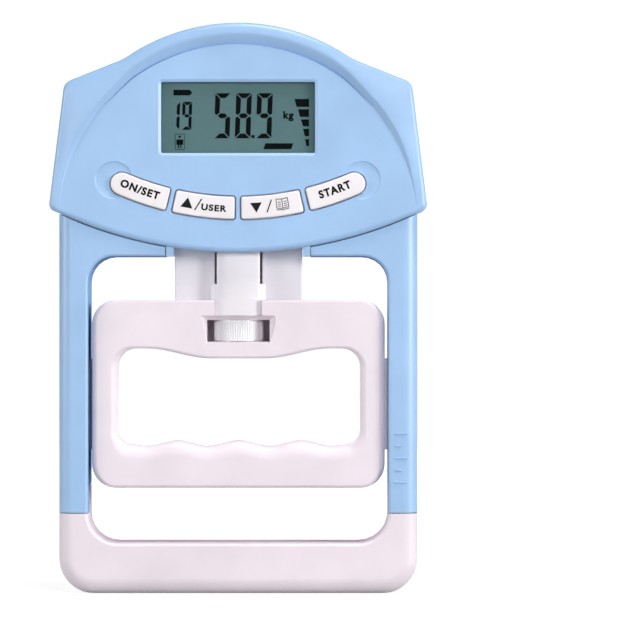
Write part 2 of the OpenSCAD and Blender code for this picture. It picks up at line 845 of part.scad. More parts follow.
// Plates at both ends of the bay: pips for the cells' buttons, and tails out to the leads
module battery_contacts() {
    color(steel) for (i = [0, 1]) mirror([i, 0, 0]) {
        contact_plate(battery_z[0]);
        contact_plate(battery_z[1]);
        translate([bay_x - contact_t - contact_pip, battery_y, battery_z[i]]) rotate([0, 90, 0])
            cylinder(r1 = 1.8, r2 = 2.6, h = contact_pip + eps);
        box([bay_x - contact_t, lead_x - 0.6], tail_y, tail_z);
    }
}

// A cone of round wire turns, against each cell's flat end
module battery_springs() {
    wire_r = spring_l / (2 * spring_turns - 1.6);
    color(steel) for (i = [0, 1]) mirror([1 - i, 0, 0])
        translate([bay_x - contact_t - spring_l, battery_y, battery_z[i]]) rotate([0, 90, 0])
            for (k = [0:spring_turns - 1])
                translate([0, 0, wire_r + (spring_l - 2 * wire_r) * k / (spring_turns - 1)])
                    rotate_extrude($fn = 32) translate([2 + 0.25 * k, 0]) circle(r = wire_r, $fn = 16);
}

// A round wire along a list of points
module wire(points, r) {
    for (i = [0:len(points) - 2]) {
        v = points[i + 1] - points[i];
        translate(points[i]) rotate([0, acos(v[2] / norm(v)), atan2(v[1], v[0])])
            cylinder(r = r, h = norm(v), $fn = 16);
        if (i > 0) translate(points[i]) sphere(r = r + eps, $fn = 32);
    }
}

module battery_leads() {
    back = board_y + board_t;
    y = (tail_y[0] + tail_y[1]) / 2;
    z = tail_z[1];
    for (i = [0, 1]) mirror([i, 0, 0]) color(i == 0 ? "firebrick" : black)
        wire([[lead_x, y, z], [lead_x, back + 3, z - 3], [lead_x, back, z - 3]], 0.6);
}

module gauge_lead() {
    back = board_y + board_t;
    x = cell_w / 2 + 6;
    z = cell_z + 7;
    color([0.85, 0.85, 0.88]) wire([[cell_w / 2, 2, z], [x, 2, z], [x, back, z]], 0.7);
}

// ---- Load path ----

module steel_strip() {
    leg_in = strip_out - strip_t;
    bend_x = strip_out - strip_bend;
    bend_z = strip_low + strip_bend;
    color(steel) difference() {
        union() {
            box([-bend_x, bend_x], [-strip_w / 2, strip_w / 2], [strip_low, strip_low + strip_t]);
            both() {
                box([leg_in, strip_out], [-strip_w / 2, strip_w / 2], [bend_z, strip_top]);
                translate([bend_x, 0, bend_z]) rotate([90, 0, 0]) rotate_extrude(angle = 90, start = 270)
                    translate([strip_bend - strip_t, -strip_w / 2]) square([strip_t, strip_w]);
            }
        }
        both() translate([leg_in - 1, 0, bracket_screw_z]) rotate([0, 90, 0])
            cylinder(r = steel_hole_r, h = strip_t + 2);
    }
}

module load_bracket() {
    inner = strip_out - strip_t;
    color(steel) difference() {
        union() {
            box([-inner, inner], [-strip_w / 2, strip_w / 2], [bracket_z, cell_z]);
            both() box([inner - tab_t, inner], [-strip_w / 2, strip_w / 2], [bracket_z, strip_top]);
        }
        pin_z(screw_r + bolt_gap, bracket_z - 1, cell_z + 1);
        both() {
            translate([inner - tab_t - 1, 0, bracket_screw_z]) rotate([0, 90, 0])
                cylinder(r = steel_screw_r, h = tab_t + 2);
            translate([cell_screw_x, 0, bracket_z - eps])
                cylinder(r1 = countersink[0] + fit, r2 = steel_hole_r, h = countersink[1] + fit);
            translate([cell_screw_x, 0, bracket_z - 1]) cylinder(r = steel_hole_r, h = bracket_t + 2);
        }
    }
}

module bracket_screws() {
    inner = strip_out - strip_t;
    color(steel) both() translate([0, 0, bracket_screw_z]) rotate([0, 90, 0]) {
        translate([0, 0, inner - tab_t]) cylinder(r = steel_screw_r, h = tab_t + strip_t + eps);
        translate([0, 0, strip_out]) cylinder(r = 3.2, h = 1.6);
    }
}

module load_cell() {
    color([0.75, 0.76, 0.78]) difference() {
        box([-cell_w / 2, cell_w / 2], [-strip_w / 2, strip_w / 2], [cell_z, cell_top]);
        // the middle hangs clear between two feet
        box([-cell_w / 2 + cell_foot, cell_w / 2 - cell_foot], [-strip_w, strip_w],
            [cell_z - 1, cell_z + 1]);
        both() pin_y(9.2, cell_z + cell_h / 2 + 0.5, 3.4, -strip_w, strip_w);
        pin_z(screw_r + bolt_gap, cell_z - 1, cell_top + 1);
        both() translate([cell_screw_x, 0, cell_z - 1]) cylinder(r = steel_screw_r, h = 7);
    }
}

module cell_screws() {
    color(steel) both() translate([cell_screw_x, 0, 0]) {
        translate([0, 0, bracket_z]) cylinder(r1 = countersink[0], r2 = steel_screw_r, h = countersink[1]);
        translate([0, 0, bracket_z]) cylinder(r = steel_screw_r, h = bracket_t + 5);
    }
}

module hanger_washer() {
    color(steel) difference() {
        pin_z(5.4, cell_top, cell_top + hanger_washer_t);
        pin_z(screw_r + bolt_gap, cell_top - 1, cell_top + 2);
    }
}

module hanger_bolt() {
    head_z = cell_top + hanger_washer_t;
    color(steel) difference() {
        union() {
            pin_z(screw_r, bolt_bottom, head_z + eps);
            translate([0, 0, head_z]) cylinder(r = 5, h = bolt_head_h);
        }
        translate([0, 0, head_z + 2]) cylinder(r = 2.8, h = 4, $fn = 6);
    }
}

module draw_tube() {
    color(brass) difference() {
        pin_z(tube_r, tube_bottom, tube_top);
        pin_z(screw_r + bearing, tube_bottom - 1, bolt_bottom + 1);
        pin_z(screw_r + bolt_gap, tube_bottom + nut_len, bolt_bottom);
        pin_z(screw_r, bolt_bottom - 1, tube_top + 1);
    }
}

// ---- Grip ----

// The finger window: grooves below, and an upper edge that dips at the middle
module window_2d() {
    top_r = 6.5;
    low_r = 5;
    dip = [9.5, 31.6];
    wave = [for (i = [0:18]) let (x = 36 * (1 - i / 18))
            [x, win_low + groove_d / 2 * (1 + cos(360 * x / groove_pitch))]];
    polygon(both_sides(concat(
        [[0, win_top - upper_dip], [dip[0], win_top - upper_dip]],
        [for (i = [1:8]) [dip[0] + (dip[1] - dip[0]) * i / 8,
                          win_top - upper_dip * (1 + cos(180 * i / 8)) / 2]],
        corner([dip[1], win_top], [win_x, win_top], [win_x, win_low], top_r),
        corner([win_x, win_top], [win_x, wave[0][1]], wave[0], low_r),
        wave)));
}

module grip_2d() {
    rounded_box_2d([-grip_w / 2, grip_w / 2], [grip_z, grip_top], grip_corner_r);
}

module grip_edges() {
    intersection() {
        linear_extrude(far)
            rounded_box_2d([-grip_w / 2, grip_w / 2], [-half_grip, half_grip], grip_edge_r);
        rotate([90, 0, 90]) translate([0, 0, -grip_w / 2]) linear_extrude(grip_w)
            rounded_box_2d([-half_grip, half_grip], [grip_z, grip_top], grip_edge_r);
    }
}

// Places of the four grip screws
module at_grip_screws() {
    both() for (p = grip_screw_xz) translate([p[0], 0, p[1]]) children();
}

module grip_half(y0, y1) {
    difference() {
        union() {
            difference() {
                intersection() {
                    slab(y0, y1) difference() {
                        grip_2d();
                        window_2d();
                    }
                    grip_edges();
                }
                slab(grip_wall - half_grip, half_grip - grip_wall) difference() {
                    offset(delta = -grip_wall) grip_2d();
                    offset(delta = grip_wall) window_2d();
                    translate([-core_x, win_low + 10]) square([2 * core_x, grip_h]);
                }
            }
            at_grip_screws() pin_y(0, 0, small_boss_r, y0 < 0 ? y0 + 1 : 0, y1 > 0 ? y1 - 1 : 0);
        }
        // the knob's window, right through, with a bevelled surround at both ends
        box([-knob_win_w / 2, knob_win_w / 2], [-grip_t, grip_t], [knob_low, knob_top]);
        knob_bevel();
        mirror([0, 1, 0]) knob_bevel();
        pin_z(washer_r + fit, knob_low - washer_t, knob_top + washer_t);
        pin_z(screw_r + bearing, knob_low - 1.6, knob_low);
        pin_z(screw_r + bolt_gap, knob_top, grip_top + 1);
        // seat of the neck
        box([-neck_w / 2 - foot_over - fit, neck_w / 2 + foot_over + fit],
            [-neck_t / 2 - fit, neck_t / 2 + fit], [foot_z, grip_top - grip_wall]);
        box([-neck_w / 2 - fit, neck_w / 2 + fit], [-neck_t / 2 - fit, neck_t / 2 + fit],
            [foot_z, grip_top + 1]);
        box([-sleeve_w / 2 - fit, sleeve_w / 2 + fit], [-grip_t, 0], [foot_z, grip_top + 1]);
        pin_z(sleeve_w / 2 + fit, foot_z, grip_top + 1);
        // the guides pass the outer walls
        both() box([grip_w / 2 - grip_wall - 0.5, grip_w / 2 + 1],
                   [-guide_w / 2 - fit, guide_w / 2 + fit], [guide_z[0] - fit, guide_z[1] + fit]);
    }
}

// Bevelled surround of the knob's window, narrowing from the grip's front face inwards
module knob_bevel() {
    hull() {
        box([-knob_win_w / 2 - bevel, knob_win_w / 2 + bevel], [-half_grip - eps, eps - half_grip],
            [knob_low - bevel_z, knob_top + bevel_z]);
        box([-knob_win_w / 2, knob_win_w / 2], [bevel - half_grip - eps, bevel - half_grip],
            [knob_low, knob_top]);
    }
}

module grip_front() {
    color(pink_white) difference() {
        grip_half(-half_grip, 0);
        at_grip_screws() pin_y(0, 0, pilot_r, 2 - half_grip, eps);
    }
}

module grip_rear() {
    color(pink_white) difference() {
        grip_half(0, half_grip);
        at_grip_screws() {
            pin_y(0, 0, shank_hole_r, -eps, half_grip);
            pin_y(0, 0, grip_screw_r + head_clear, half_grip - grip_seat, half_grip + eps);
        }
    }
}

module grip_screws() {
    color(steel) at_grip_screws() plastics_screw(3 - half_grip, half_grip - grip_seat, grip_screw_r);
}

// A guide: a flange inside the side bar, a stem through its wall and a shoe in the arm's slot
module guide() {
    wall_in = grip_w / 2 - grip_wall;
    color([0.78, 0.74, 0.80]) {
        box([wall_in - 2, wall_in - fit], [-guide_w / 2 - 1.4, guide_w / 2 + 1.4],
            [guide_z[0] - 2, guide_z[1] + 2]);
        box([wall_in - 1, arm_in + arm_wall + 1.4], [-guide_w / 2, guide_w / 2], guide_z);
    }
}

module left_guide() {
    mirror([1, 0, 0]) guide();
}

module right_guide() {
    guide();
}

// Neck plates, foot and the sleeve with its rounded front, in one moulding
module neck() {
    arc_r = 12;
    color(cool_white) difference() {
        union() {
            box([-neck_w / 2, neck_w / 2], [-neck_t / 2, neck_t / 2], [foot_z + fit, neck_top]);
            box([-neck_w / 2 - foot_over, neck_w / 2 + foot_over], [-neck_t / 2, neck_t / 2],
                [foot_z + fit, grip_top - grip_wall - fit]);
            pin_z(sleeve_w / 2, foot_z + fit, neck_top);
            intersection() {
                union() {
                    box([-sleeve_w / 2, sleeve_w / 2], [-half_grip, 0], [foot_z + fit, neck_top]);
                    box([-flare_w / 2, flare_w / 2], [-half_grip, 0], [grip_top + 0.1, flare_top]);
                }
                translate([0, sleeve_y + arc_r, 0]) cylinder(r = arc_r, h = far, $fn = 96);
            }
        }
        // slots beside the sleeve
        both() box([sleeve_w / 2, sleeve_w / 2 + neck_slot], [-neck_t, neck_t], [flare_top, neck_top + 1]);
        pin_z(screw_r + bolt_gap, foot_z - 1, neck_top);
        pin_z(tube_r + bolt_gap, tube_bottom - adjust_up - slide, neck_top + 1);
    }
}

module thrust_washers() {
    color(steel) for (z = [knob_low - washer_t, knob_top]) difference() {
        pin_z(washer_r, z, z + washer_t);
        pin_z(screw_r + bolt_gap, z - 1, z + 2);
    }
}

// ---- Knob and screw ----

module knob() {
    knurl_d = 0.35;
    color([0.95, 0.95, 0.97]) difference() {
        translate([0, 0, knob_low + knob_gap]) linear_extrude(knob_win_h - 2 * knob_gap)
            polygon([for (i = [0:2 * knurls - 1])
                     on([0, 0], knob_d / 2 - (i % 2) * knurl_d, 180 * i / knurls)]);
        pin_z(collar_r, knob_low, knob_top);
    }
}

module adjusting_screw() {
    color(steel) {
        pin_z(screw_r, knob_low - 1.3, screw_top);
        pin_z(collar_r, knob_low + knob_gap, knob_top - knob_gap);
    }
}

rear_housing();
head_cover();
left_arm_cover();
right_arm_cover();
palm_bar_front();
palm_bar_rear();
steel_strip();
load_bracket();
bracket_screws();
load_cell();
cell_screws();
lens();
lcd_panel();
lcd_holder();
contact_strip();
main_board();
board_screws();
chips();
tact_switches();
key_power();
key_up();
key_down();
key_start();
battery_left();
battery_right();
battery_contacts();
battery_springs();
battery_door();
housing_screws();
arm_screws();
palm_screws();
hanger_bolt();
hanger_washer();
draw_tube();
grip_front();
grip_rear();
neck();
left_guide();
right_guide();
thrust_washers();
grip_screws();
knob();
adjusting_screw();
gauge_lead();
battery_leads();
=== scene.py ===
# %% [markdown]
# # Hand dynamometer
# The construction is already done: every housing, screw and moving part comes packed in one fixed
# frame, in metres, with +Z up and the face towards -Y. This file adds what the eye sees. It makes
# moulded skins with soft edges, keys with their marks, the screen's segments and the finishes, and
# then sets up a plain studio.

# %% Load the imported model
import json
import math

import bmesh
import bpy
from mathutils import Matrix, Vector


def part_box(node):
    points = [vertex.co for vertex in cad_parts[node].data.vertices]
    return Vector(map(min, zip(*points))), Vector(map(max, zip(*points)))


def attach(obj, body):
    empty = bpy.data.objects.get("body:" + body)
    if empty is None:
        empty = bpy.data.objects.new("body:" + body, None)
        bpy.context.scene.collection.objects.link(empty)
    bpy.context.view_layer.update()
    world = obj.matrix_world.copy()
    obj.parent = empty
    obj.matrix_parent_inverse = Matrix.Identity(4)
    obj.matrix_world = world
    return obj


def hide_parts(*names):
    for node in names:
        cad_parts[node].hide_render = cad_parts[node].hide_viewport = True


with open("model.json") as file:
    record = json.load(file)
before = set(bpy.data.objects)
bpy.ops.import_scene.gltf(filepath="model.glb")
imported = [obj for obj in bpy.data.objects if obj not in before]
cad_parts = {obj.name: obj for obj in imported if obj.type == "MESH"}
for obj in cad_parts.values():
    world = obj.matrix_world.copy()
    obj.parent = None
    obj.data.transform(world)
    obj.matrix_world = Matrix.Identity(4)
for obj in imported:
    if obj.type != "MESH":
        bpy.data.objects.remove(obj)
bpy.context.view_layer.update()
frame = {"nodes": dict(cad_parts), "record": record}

# %% [markdown]
# ## Outlines
# Most pieces here are mouldings whose shape is an outline seen from the front, with a soft edge.
# An outline is a list of (x, z) points, anticlockwise. Straight stretches need only their ends,
# and round ones come from arcs. The same few helpers draw every outline in this file.

# %% Points, arcs and rounded corners
MM = 0.001


def on_circle(centre, radius, degrees):
    """The point at this angle, counted from the right, anticlockwise."""
    a = math.radians(degrees)
    return (centre[0] + radius * math.cos(a), centre[1] + radius * math.sin(a))


def arc(centre, radius, start, end, steps):
    """Points along a circle from one angle to another, in degrees."""
    return [on_circle(centre, radius, start + (end - start) * i / steps) for i in range(steps + 1)]


def corner(before, point, after, radius, steps=6):
    """The corner at point, between its two neighbours, rounded."""
    p = Vector(point)
    u, v = (Vector(before) - p).normalized(), (Vector(after) - p).normalized()
    half = u.angle(v) / 2
    middle = p + (u + v).normalized() * radius / math.sin(half)
    a, b = p + u * radius / math.tan(half) - middle, p + v * radius / math.tan(half) - middle
    start = math.degrees(math.atan2(a.y, a.x))
    turn = (math.degrees(math.atan2(b.y, b.x)) - start + 180) % 360 - 180
    return arc(middle, radius, start, start + turn, steps)


def both_sides(half):
    """The right half of an outline, from the top down, and its mirror image."""
    return half + [(-x, z) for x, z in reversed(half) if x > 1e-6]


def rounded_box(x0, x1, z0, z1, radius, steps=6):
    """A rectangle with rounded corners."""
    points = [(x0, z0), (x1, z0), (x1, z1), (x0, z1)]
    return [q for i in range(4)
            for q in corner(points[i - 1], points[i], points[(i + 1) % 4], radius, steps)]


def area(outline):
    """The area inside an outline, below zero if it runs clockwise."""
    return sum(a[0] * b[1] - b[0] * a[1] for a, b in zip(outline, outline[1:] + outline[:1])) / 2


def inset(outline, distance):
    """The outline moved inwards. distance is one number, or one for each point."""
    n = len(outline)
    steps = distance if isinstance(distance, list) else [distance] * n
    turn = 1 if area(outline) > 0 else -1
    moved = []
    for i, p in enumerate(outline):
        a = (Vector(p) - Vector(outline[i - 1])).normalized()
        b = (Vector(outline[(i + 1) % n]) - Vector(p)).normalized()
        m = (a + b).normalized()
        d = steps[i] / max(0.5, m.dot(a))
        moved.append((p[0] - turn * m.y * d, p[1] + turn * m.x * d))
    return moved


print("a rounded unit square has area", round(area(rounded_box(0, 1, 0, 1, 0.1)), 3))

# %% [markdown]
# ## Lofting by extrusion
# A moulding is drawn like this by hand: a circle gets as many vertices as the outline has points,
# is pulled onto the first ring, and is then extruded again and again, each time onto the next ring.
# Filling the two end rings gives a solid. The helper below does just that, so a soft edge is only a
# matter of which rings it is given.

# %% Extrude one ring after another
def only(*pieces):
    """Selects these objects and nothing else, and makes the first one active."""
    if bpy.context.object and bpy.context.object.mode != "OBJECT":
        bpy.ops.object.mode_set(mode="OBJECT")
    bpy.ops.object.select_all(action="DESELECT")
    for piece in pieces:
        piece.select_set(True)
    bpy.context.view_layer.objects.active = pieces[0]


def at_depth(outline, y):
    """An outline as a ring of points at one depth."""
    return [(x, y, z) for x, z in outline]


def loft(name, rings):
    """A solid through rings of points, closed at both ends."""
    bpy.ops.object.select_all(action="DESELECT")
    bpy.ops.mesh.primitive_circle_add(vertices=len(rings[0]), radius=0.01)
    piece = bpy.context.object
    piece.name = piece.data.name = name
    bpy.ops.object.mode_set(mode="EDIT")
    order = {i: i for i in range(len(rings[0]))}
    for k, ring in enumerate(rings):
        if k:
            bpy.ops.mesh.extrude_edges_move()
        edit = bmesh.from_edit_mesh(piece.data)
        edit.verts.index_update()
        if k:
            order = {v.index: order[e.other_vert(v).index] for v in edit.verts if v.select
                     for e in v.link_edges if not e.other_vert(v).select}
        edit.verts.ensure_lookup_table()
        for i, place in order.items():
            edit.verts[i].co = ring[place]
    bpy.ops.mesh.select_all(action="SELECT")
    bpy.ops.mesh.fill_holes(sides=0)
    bpy.ops.mesh.normals_make_consistent(inside=False)
    bpy.ops.object.mode_set(mode="OBJECT")
    return piece


# %% Join, cut and finish a piece
def joined(*pieces):
    """All these pieces as one, under the first one's name."""
    only(*pieces)
    if len(pieces) > 1:
        bpy.ops.object.join()
    return pieces[0]


def boolean(piece, cutters, operation="DIFFERENCE"):
    """Takes the cutters away from the piece, or adds them, and deletes them."""
    for cutter in cutters:
        change = piece.modifiers.new("cut", "BOOLEAN")
        change.operation, change.solver, change.object = operation, "EXACT", cutter
        only(piece)
        bpy.ops.object.modifier_apply(modifier=change.name)
        bpy.data.objects.remove(cutter)
    return piece


def block(low, high):
    """A plain box, to cut with."""
    size = [b - a for a, b in zip(low, high)]
    bpy.ops.object.select_all(action="DESELECT")
    middle = [(a + b) / 2 for a, b in zip(low, high)]
    bpy.ops.mesh.primitive_cube_add(size=1, location=middle, scale=size)
    bpy.ops.object.transform_apply(location=True, rotation=True, scale=True)
    return bpy.context.object


def finished(piece, body, material, replaced=(), angle=32):
    """Shades a piece, gives it its finish and puts it on its body."""
    only(piece)
    bpy.ops.object.shade_smooth_by_angle(angle=math.radians(angle))
    level = piece.modifiers.new("weighted", "WEIGHTED_NORMAL")
    level.keep_sharp = True
    bpy.ops.object.modifier_apply(modifier=level.name)
    piece.data.materials.clear()
    piece.data.materials.append(material)
    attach(piece, body)
    if replaced:
        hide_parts(*replaced)
    print(piece.name, len(piece.data.polygons), "faces, on", body)
    return piece


# %% [markdown]
# ## Finishes
# Moulded plastic isn't one flat colour. It has a very fine grain from the tool's surface, a slow
# drift in tone, and a gloss that changes a little from place to place. One function makes them all,
# and each finish is a row of numbers for it. Patterns sit on Object coordinates, so that they move
# with their piece.

# %% Colours and links
def srgb(red, green, blue):
    """A colour given in 0-255 display values, as the shader wants it."""
    def linear(c):
        c /= 255
        return c / 12.92 if c <= 0.04045 else ((c + 0.055) / 1.055) ** 2.4
    return (linear(red), linear(green), linear(blue), 1)


def link(tree, source, output, target, entry):
    """Joins an output of one node to an entry of another."""
    tree.links.new(source.outputs[output], target.inputs[entry])


print("mid grey is", [round(c, 3) for c in srgb(128, 128, 128)[:3]], "to the shader")

# %% A finish from noise
DRIFT_SIZE = 22 * MM
RELIEF = 0.05 * MM
NOISE_RANGE = (0.3, 0.7)      # nearly all of a noise texture's values lie between these


def finish(name, colour, rough=(0.3, 0.45), grain=0.5, bump=0.15, drift=0.05,
           stretch=(1, 1, 1), **shader):
    """grain is the size of the surface's fine texture in mm, bump its strength, drift how far the
    tone wanders, rough the range of the roughness and stretch the pattern's scale by axis. What
    else is given goes to the shader's own inputs."""
    material = bpy.data.materials.new(name)
    material.use_nodes = True
    tree = material.node_tree
    surface = tree.nodes["Principled BSDF"]
    for key, value in shader.items():
        surface.inputs[key.replace("_", " ").title().replace("Ior", "IOR")].default_value = value
    place = tree.nodes.new("ShaderNodeTexCoord")
    scale = tree.nodes.new("ShaderNodeMapping")
    scale.inputs["Scale"].default_value = stretch
    link(tree, place, "Object", scale, "Vector")
    fine, broad = (tree.nodes.new("ShaderNodeTexNoise") for _ in range(2))
    fine.inputs["Scale"].default_value = 1 / (grain * MM)
    fine.inputs["Detail"].default_value = 3
    broad.inputs["Scale"].default_value = 1 / DRIFT_SIZE
    broad.inputs["Detail"].default_value = 4
    for noise in (fine, broad):
        link(tree, scale, "Vector", noise, "Vector")
    tone = tree.nodes.new("ShaderNodeValToRGB")
    for stop, position, factor in zip(tone.color_ramp.elements, NOISE_RANGE, (1 - drift, 1 + drift)):
        stop.position = position
        stop.color = [min(1, c * factor) for c in colour[:3]] + [1]
    link(tree, broad, "Fac", tone, "Fac")
    link(tree, tone, "Color", surface, "Base Color")
    gloss = tree.nodes.new("ShaderNodeMapRange")
    for reach, (least, most) in (("From", NOISE_RANGE), ("To", rough)):
        gloss.inputs[reach + " Min"].default_value = least
        gloss.inputs[reach + " Max"].default_value = most
    link(tree, broad, "Fac", gloss, "Value")
    link(tree, gloss, "Result", surface, "Roughness")
    relief = tree.nodes.new("ShaderNodeBump")
    relief.inputs["Strength"].default_value = bump
    relief.inputs["Distance"].default_value = RELIEF
    link(tree, fine, "Fac", relief, "Height")
    link(tree, relief, "Normal", surface, "Normal")
    return material


# %% The finishes of this object
blue = finish("light_blue_plastic", srgb(160, 196, 236), (0.34, 0.44), specular_ior_level=0.65)
pinkish = finish("pinkish_white_plastic", srgb(238, 227, 235), (0.34, 0.46))
cool = finish("cool_white_plastic", srgb(238, 233, 239), (0.3, 0.4))
key_white = finish("key_plastic", srgb(240, 235, 238), (0.4, 0.5), grain=0.3)
knob_white = finish("knob_plastic", srgb(246, 245, 249), (0.35, 0.45))
mauve = finish("guide_plastic", srgb(196, 188, 204), (0.4, 0.5))
print_ink = finish("print_ink", srgb(16, 16, 20), (0.6, 0.7), grain=0.15, specular_ior_level=0.2)
screen = finish("screen_glass", srgb(96, 130, 133), (0.3, 0.35), grain=0.1, bump=0.05, drift=0.04,
                specular_ior_level=0.2)
segment_ink = finish("segment_ink", srgb(4, 9, 11), (0.6, 0.7), grain=0.1, bump=0.05,
                     specular_ior_level=0.05)
lens_clear = finish("lens_clear", srgb(30, 34, 36), (0.03, 0.06), grain=2, bump=0.01, drift=0,
                    alpha=0.05, ior=1.49)
steel = finish("zinc_steel", srgb(186, 188, 192), (0.25, 0.4), grain=0.3, metallic=1)
aluminium = finish("milled_aluminium", srgb(205, 207, 210), (0.3, 0.42), grain=0.2,
                   stretch=(0.1, 1, 1), metallic=1)
brass = finish("turned_brass", srgb(205, 170, 96), (0.2, 0.35), grain=0.2, stretch=(1, 1, 8), metallic=1)
black = finish("black_plastic", srgb(34, 34, 36), (0.4, 0.55))
rubber = finish("striped_rubber", srgb(190, 120, 130), (0.5, 0.6), grain=0.4, stretch=(4, 0.1, 0.1))
board_green = finish("green_board", srgb(24, 84, 48), (0.25, 0.4), grain=1.2)
wrapper = finish("cell_wrapper", srgb(60, 110, 74), (0.25, 0.35), grain=2)
insulation = finish("lead_insulation", srgb(150, 40, 38), (0.35, 0.5))

BY_SLOT = {"blue_plastic": blue, "pink_white_plastic": pinkish, "cool_white_plastic": cool,
           "key_plastic": key_white, "knob_plastic": knob_white, "guide_plastic": mauve,
           "steel": steel, "cell_aluminium": aluminium, "brass": brass, "clear_lens": lens_clear,
           "lcd_glass": screen, "black_plastic": black, "contact_rubber": rubber,
           "board": board_green, "battery_can": wrapper, "lead_insulation": insulation}
for part in frame["record"]["subparts"]:
    node = frame["nodes"][part["node"]]
    for entry in node.material_slots:
        entry.material = BY_SLOT[part["material_slot"]]
print(len(BY_SLOT), "finishes on", len(frame["nodes"]), "packed nodes")

# %% [markdown]
# ## The head's front moulding
# The face is a shallow panel inside a rolled rim. Across the arch the rim is a full round ridge with
# a small step down to the panel at its foot. It flattens into the shoulders, and under the curved
# lip only a bevel is left. A bevel or a sweep can't change its section along its way, so all of this
# is one band between two outlines: the silhouette, and the edge of the panel, where a circle round
# the arch's centre meets the lip. Each ring of the loft is one step across that band.

# %% Places, taken from the frame
head_low, head_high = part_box("head_cover")
arm_low, arm_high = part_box("right_arm_cover")
lens_low, lens_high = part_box("lens")
ARCH_R = 67.7 * MM
LIP_R = 145 * MM
LIP_BEVEL = 1.9 * MM
WALL = 2.2 * MM
SINK = 1.4 * MM
arch = (0, head_high.z - ARCH_R)
lip = (0, head_low.z + 1.3 * MM + LIP_R)
face_y = head_low.y + SINK
inner_y = lens_high.y
lip_turn = math.degrees(math.asin((arm_high.x - 0.5 * MM) / LIP_R))
print("face panel at", round(face_y / MM, 2), "and its back at", round(inner_y / MM, 2))

# %% Right half of the silhouette, from the top down
SHOULDER_X, SHOULDER_Z = arm_high.x - 2 * MM, head_low.z + 59.2 * MM
FLANK_X, FLANK_RISE = arm_high.x + 3.38 * MM, 1.4 * MM
BLEND_R, SHOULDER_R, FLANK_R = 26 * MM, 4 * MM, 2.5 * MM
ARCH_END, SHOULDER_START = 58.5, 54.9      # turns round the arch's centre, in degrees


def head_half():
    """The arch, the shoulder, the side, the rounded lower corner and half of the lip."""
    upper = (SHOULDER_X, SHOULDER_Z)
    lip_end = on_circle(lip, LIP_R, lip_turn - 90)
    lower = (FLANK_X, lip_end[1] + FLANK_RISE)
    start, arch_end = on_circle(arch, ARCH_R, SHOULDER_START), on_circle(arch, ARCH_R, ARCH_END)
    side = [(upper[0] + (lower[0] - upper[0]) * t, upper[1] + (lower[1] - upper[1]) * t)
            for t in (0.3, 0.45, 0.6, 0.75, 0.87)]
    return (arc(arch, ARCH_R, 90, ARCH_END, 24) + corner(arch_end, start, upper, BLEND_R)[1:]
            + corner(start, upper, lower, SHOULDER_R, 8) + side
            + corner(upper, lower, lip_end, FLANK_R, 8)
            + arc(lip, LIP_R, lip_turn - 90, -90, 26)[1:])


half = head_half()
silhouette = both_sides(half)
print("silhouette of", len(silhouette), "points")

# %% [markdown]
# ### Across the band
# At each point of the silhouette the band has the same steps: a rounded outer edge, a crown that
# rises gently, a slope, and the foot of the slope. What changes is how wide and how high they are.
# That depends on the turn of the point round the arch's centre, in degrees, with 90 at the top. Each
# feature fades in between two turns. The sizes are for the shoulder, and the ones that start with
# ARCH are what the arch adds.

# %% Sizes of the band
PANEL_R, SHOULDER_CUT = 60.9 * MM, 0.5 * MM
ROUNDING, ARCH_ROUNDING = 1.6 * MM, -0.1 * MM
DROP, ARCH_DROP = 0.1 * MM, -0.2 * MM
CROWN, ARCH_CROWN = 1.1 * MM, -0.75 * MM
SLOPE, ARCH_SLOPE = 2.4 * MM, 1.5 * MM
RIM_STEP = 0.9 * MM
EDGE_STEPS = 6
FADES = {"edge": (0, 8), "ridge": (2, 36), "cut": (4, 34), "crown": (6, 18), "step": (34, 62),
         "arch": (40, 64)}


def ramp(value, low, high):
    """0 below low, 1 above high, and smooth between them."""
    t = min(1, max(0, (value - low) / (high - low)))
    return t * t * (3 - 2 * t)


def fade(feature, turn):
    """How much of a feature the band has at this turn, from 0 to 1."""
    return ramp(turn, *FADES[feature])


def panel_edge(way, turn):
    """How far the panel's edge is from the arch's centre, along a ray."""
    gap = Vector(arch) - Vector(lip)
    along_ray = gap.dot(way)
    to_lip = math.sqrt(along_ray ** 2 - gap.length_squared + (LIP_R - LIP_BEVEL) ** 2) - along_ray
    return min(PANEL_R - SHOULDER_CUT * fade("cut", turn), to_lip)


print("the arch has", [round(fade("arch", turn), 2) for turn in (40, 52, 64)], "of its values at 40, 52, 64")


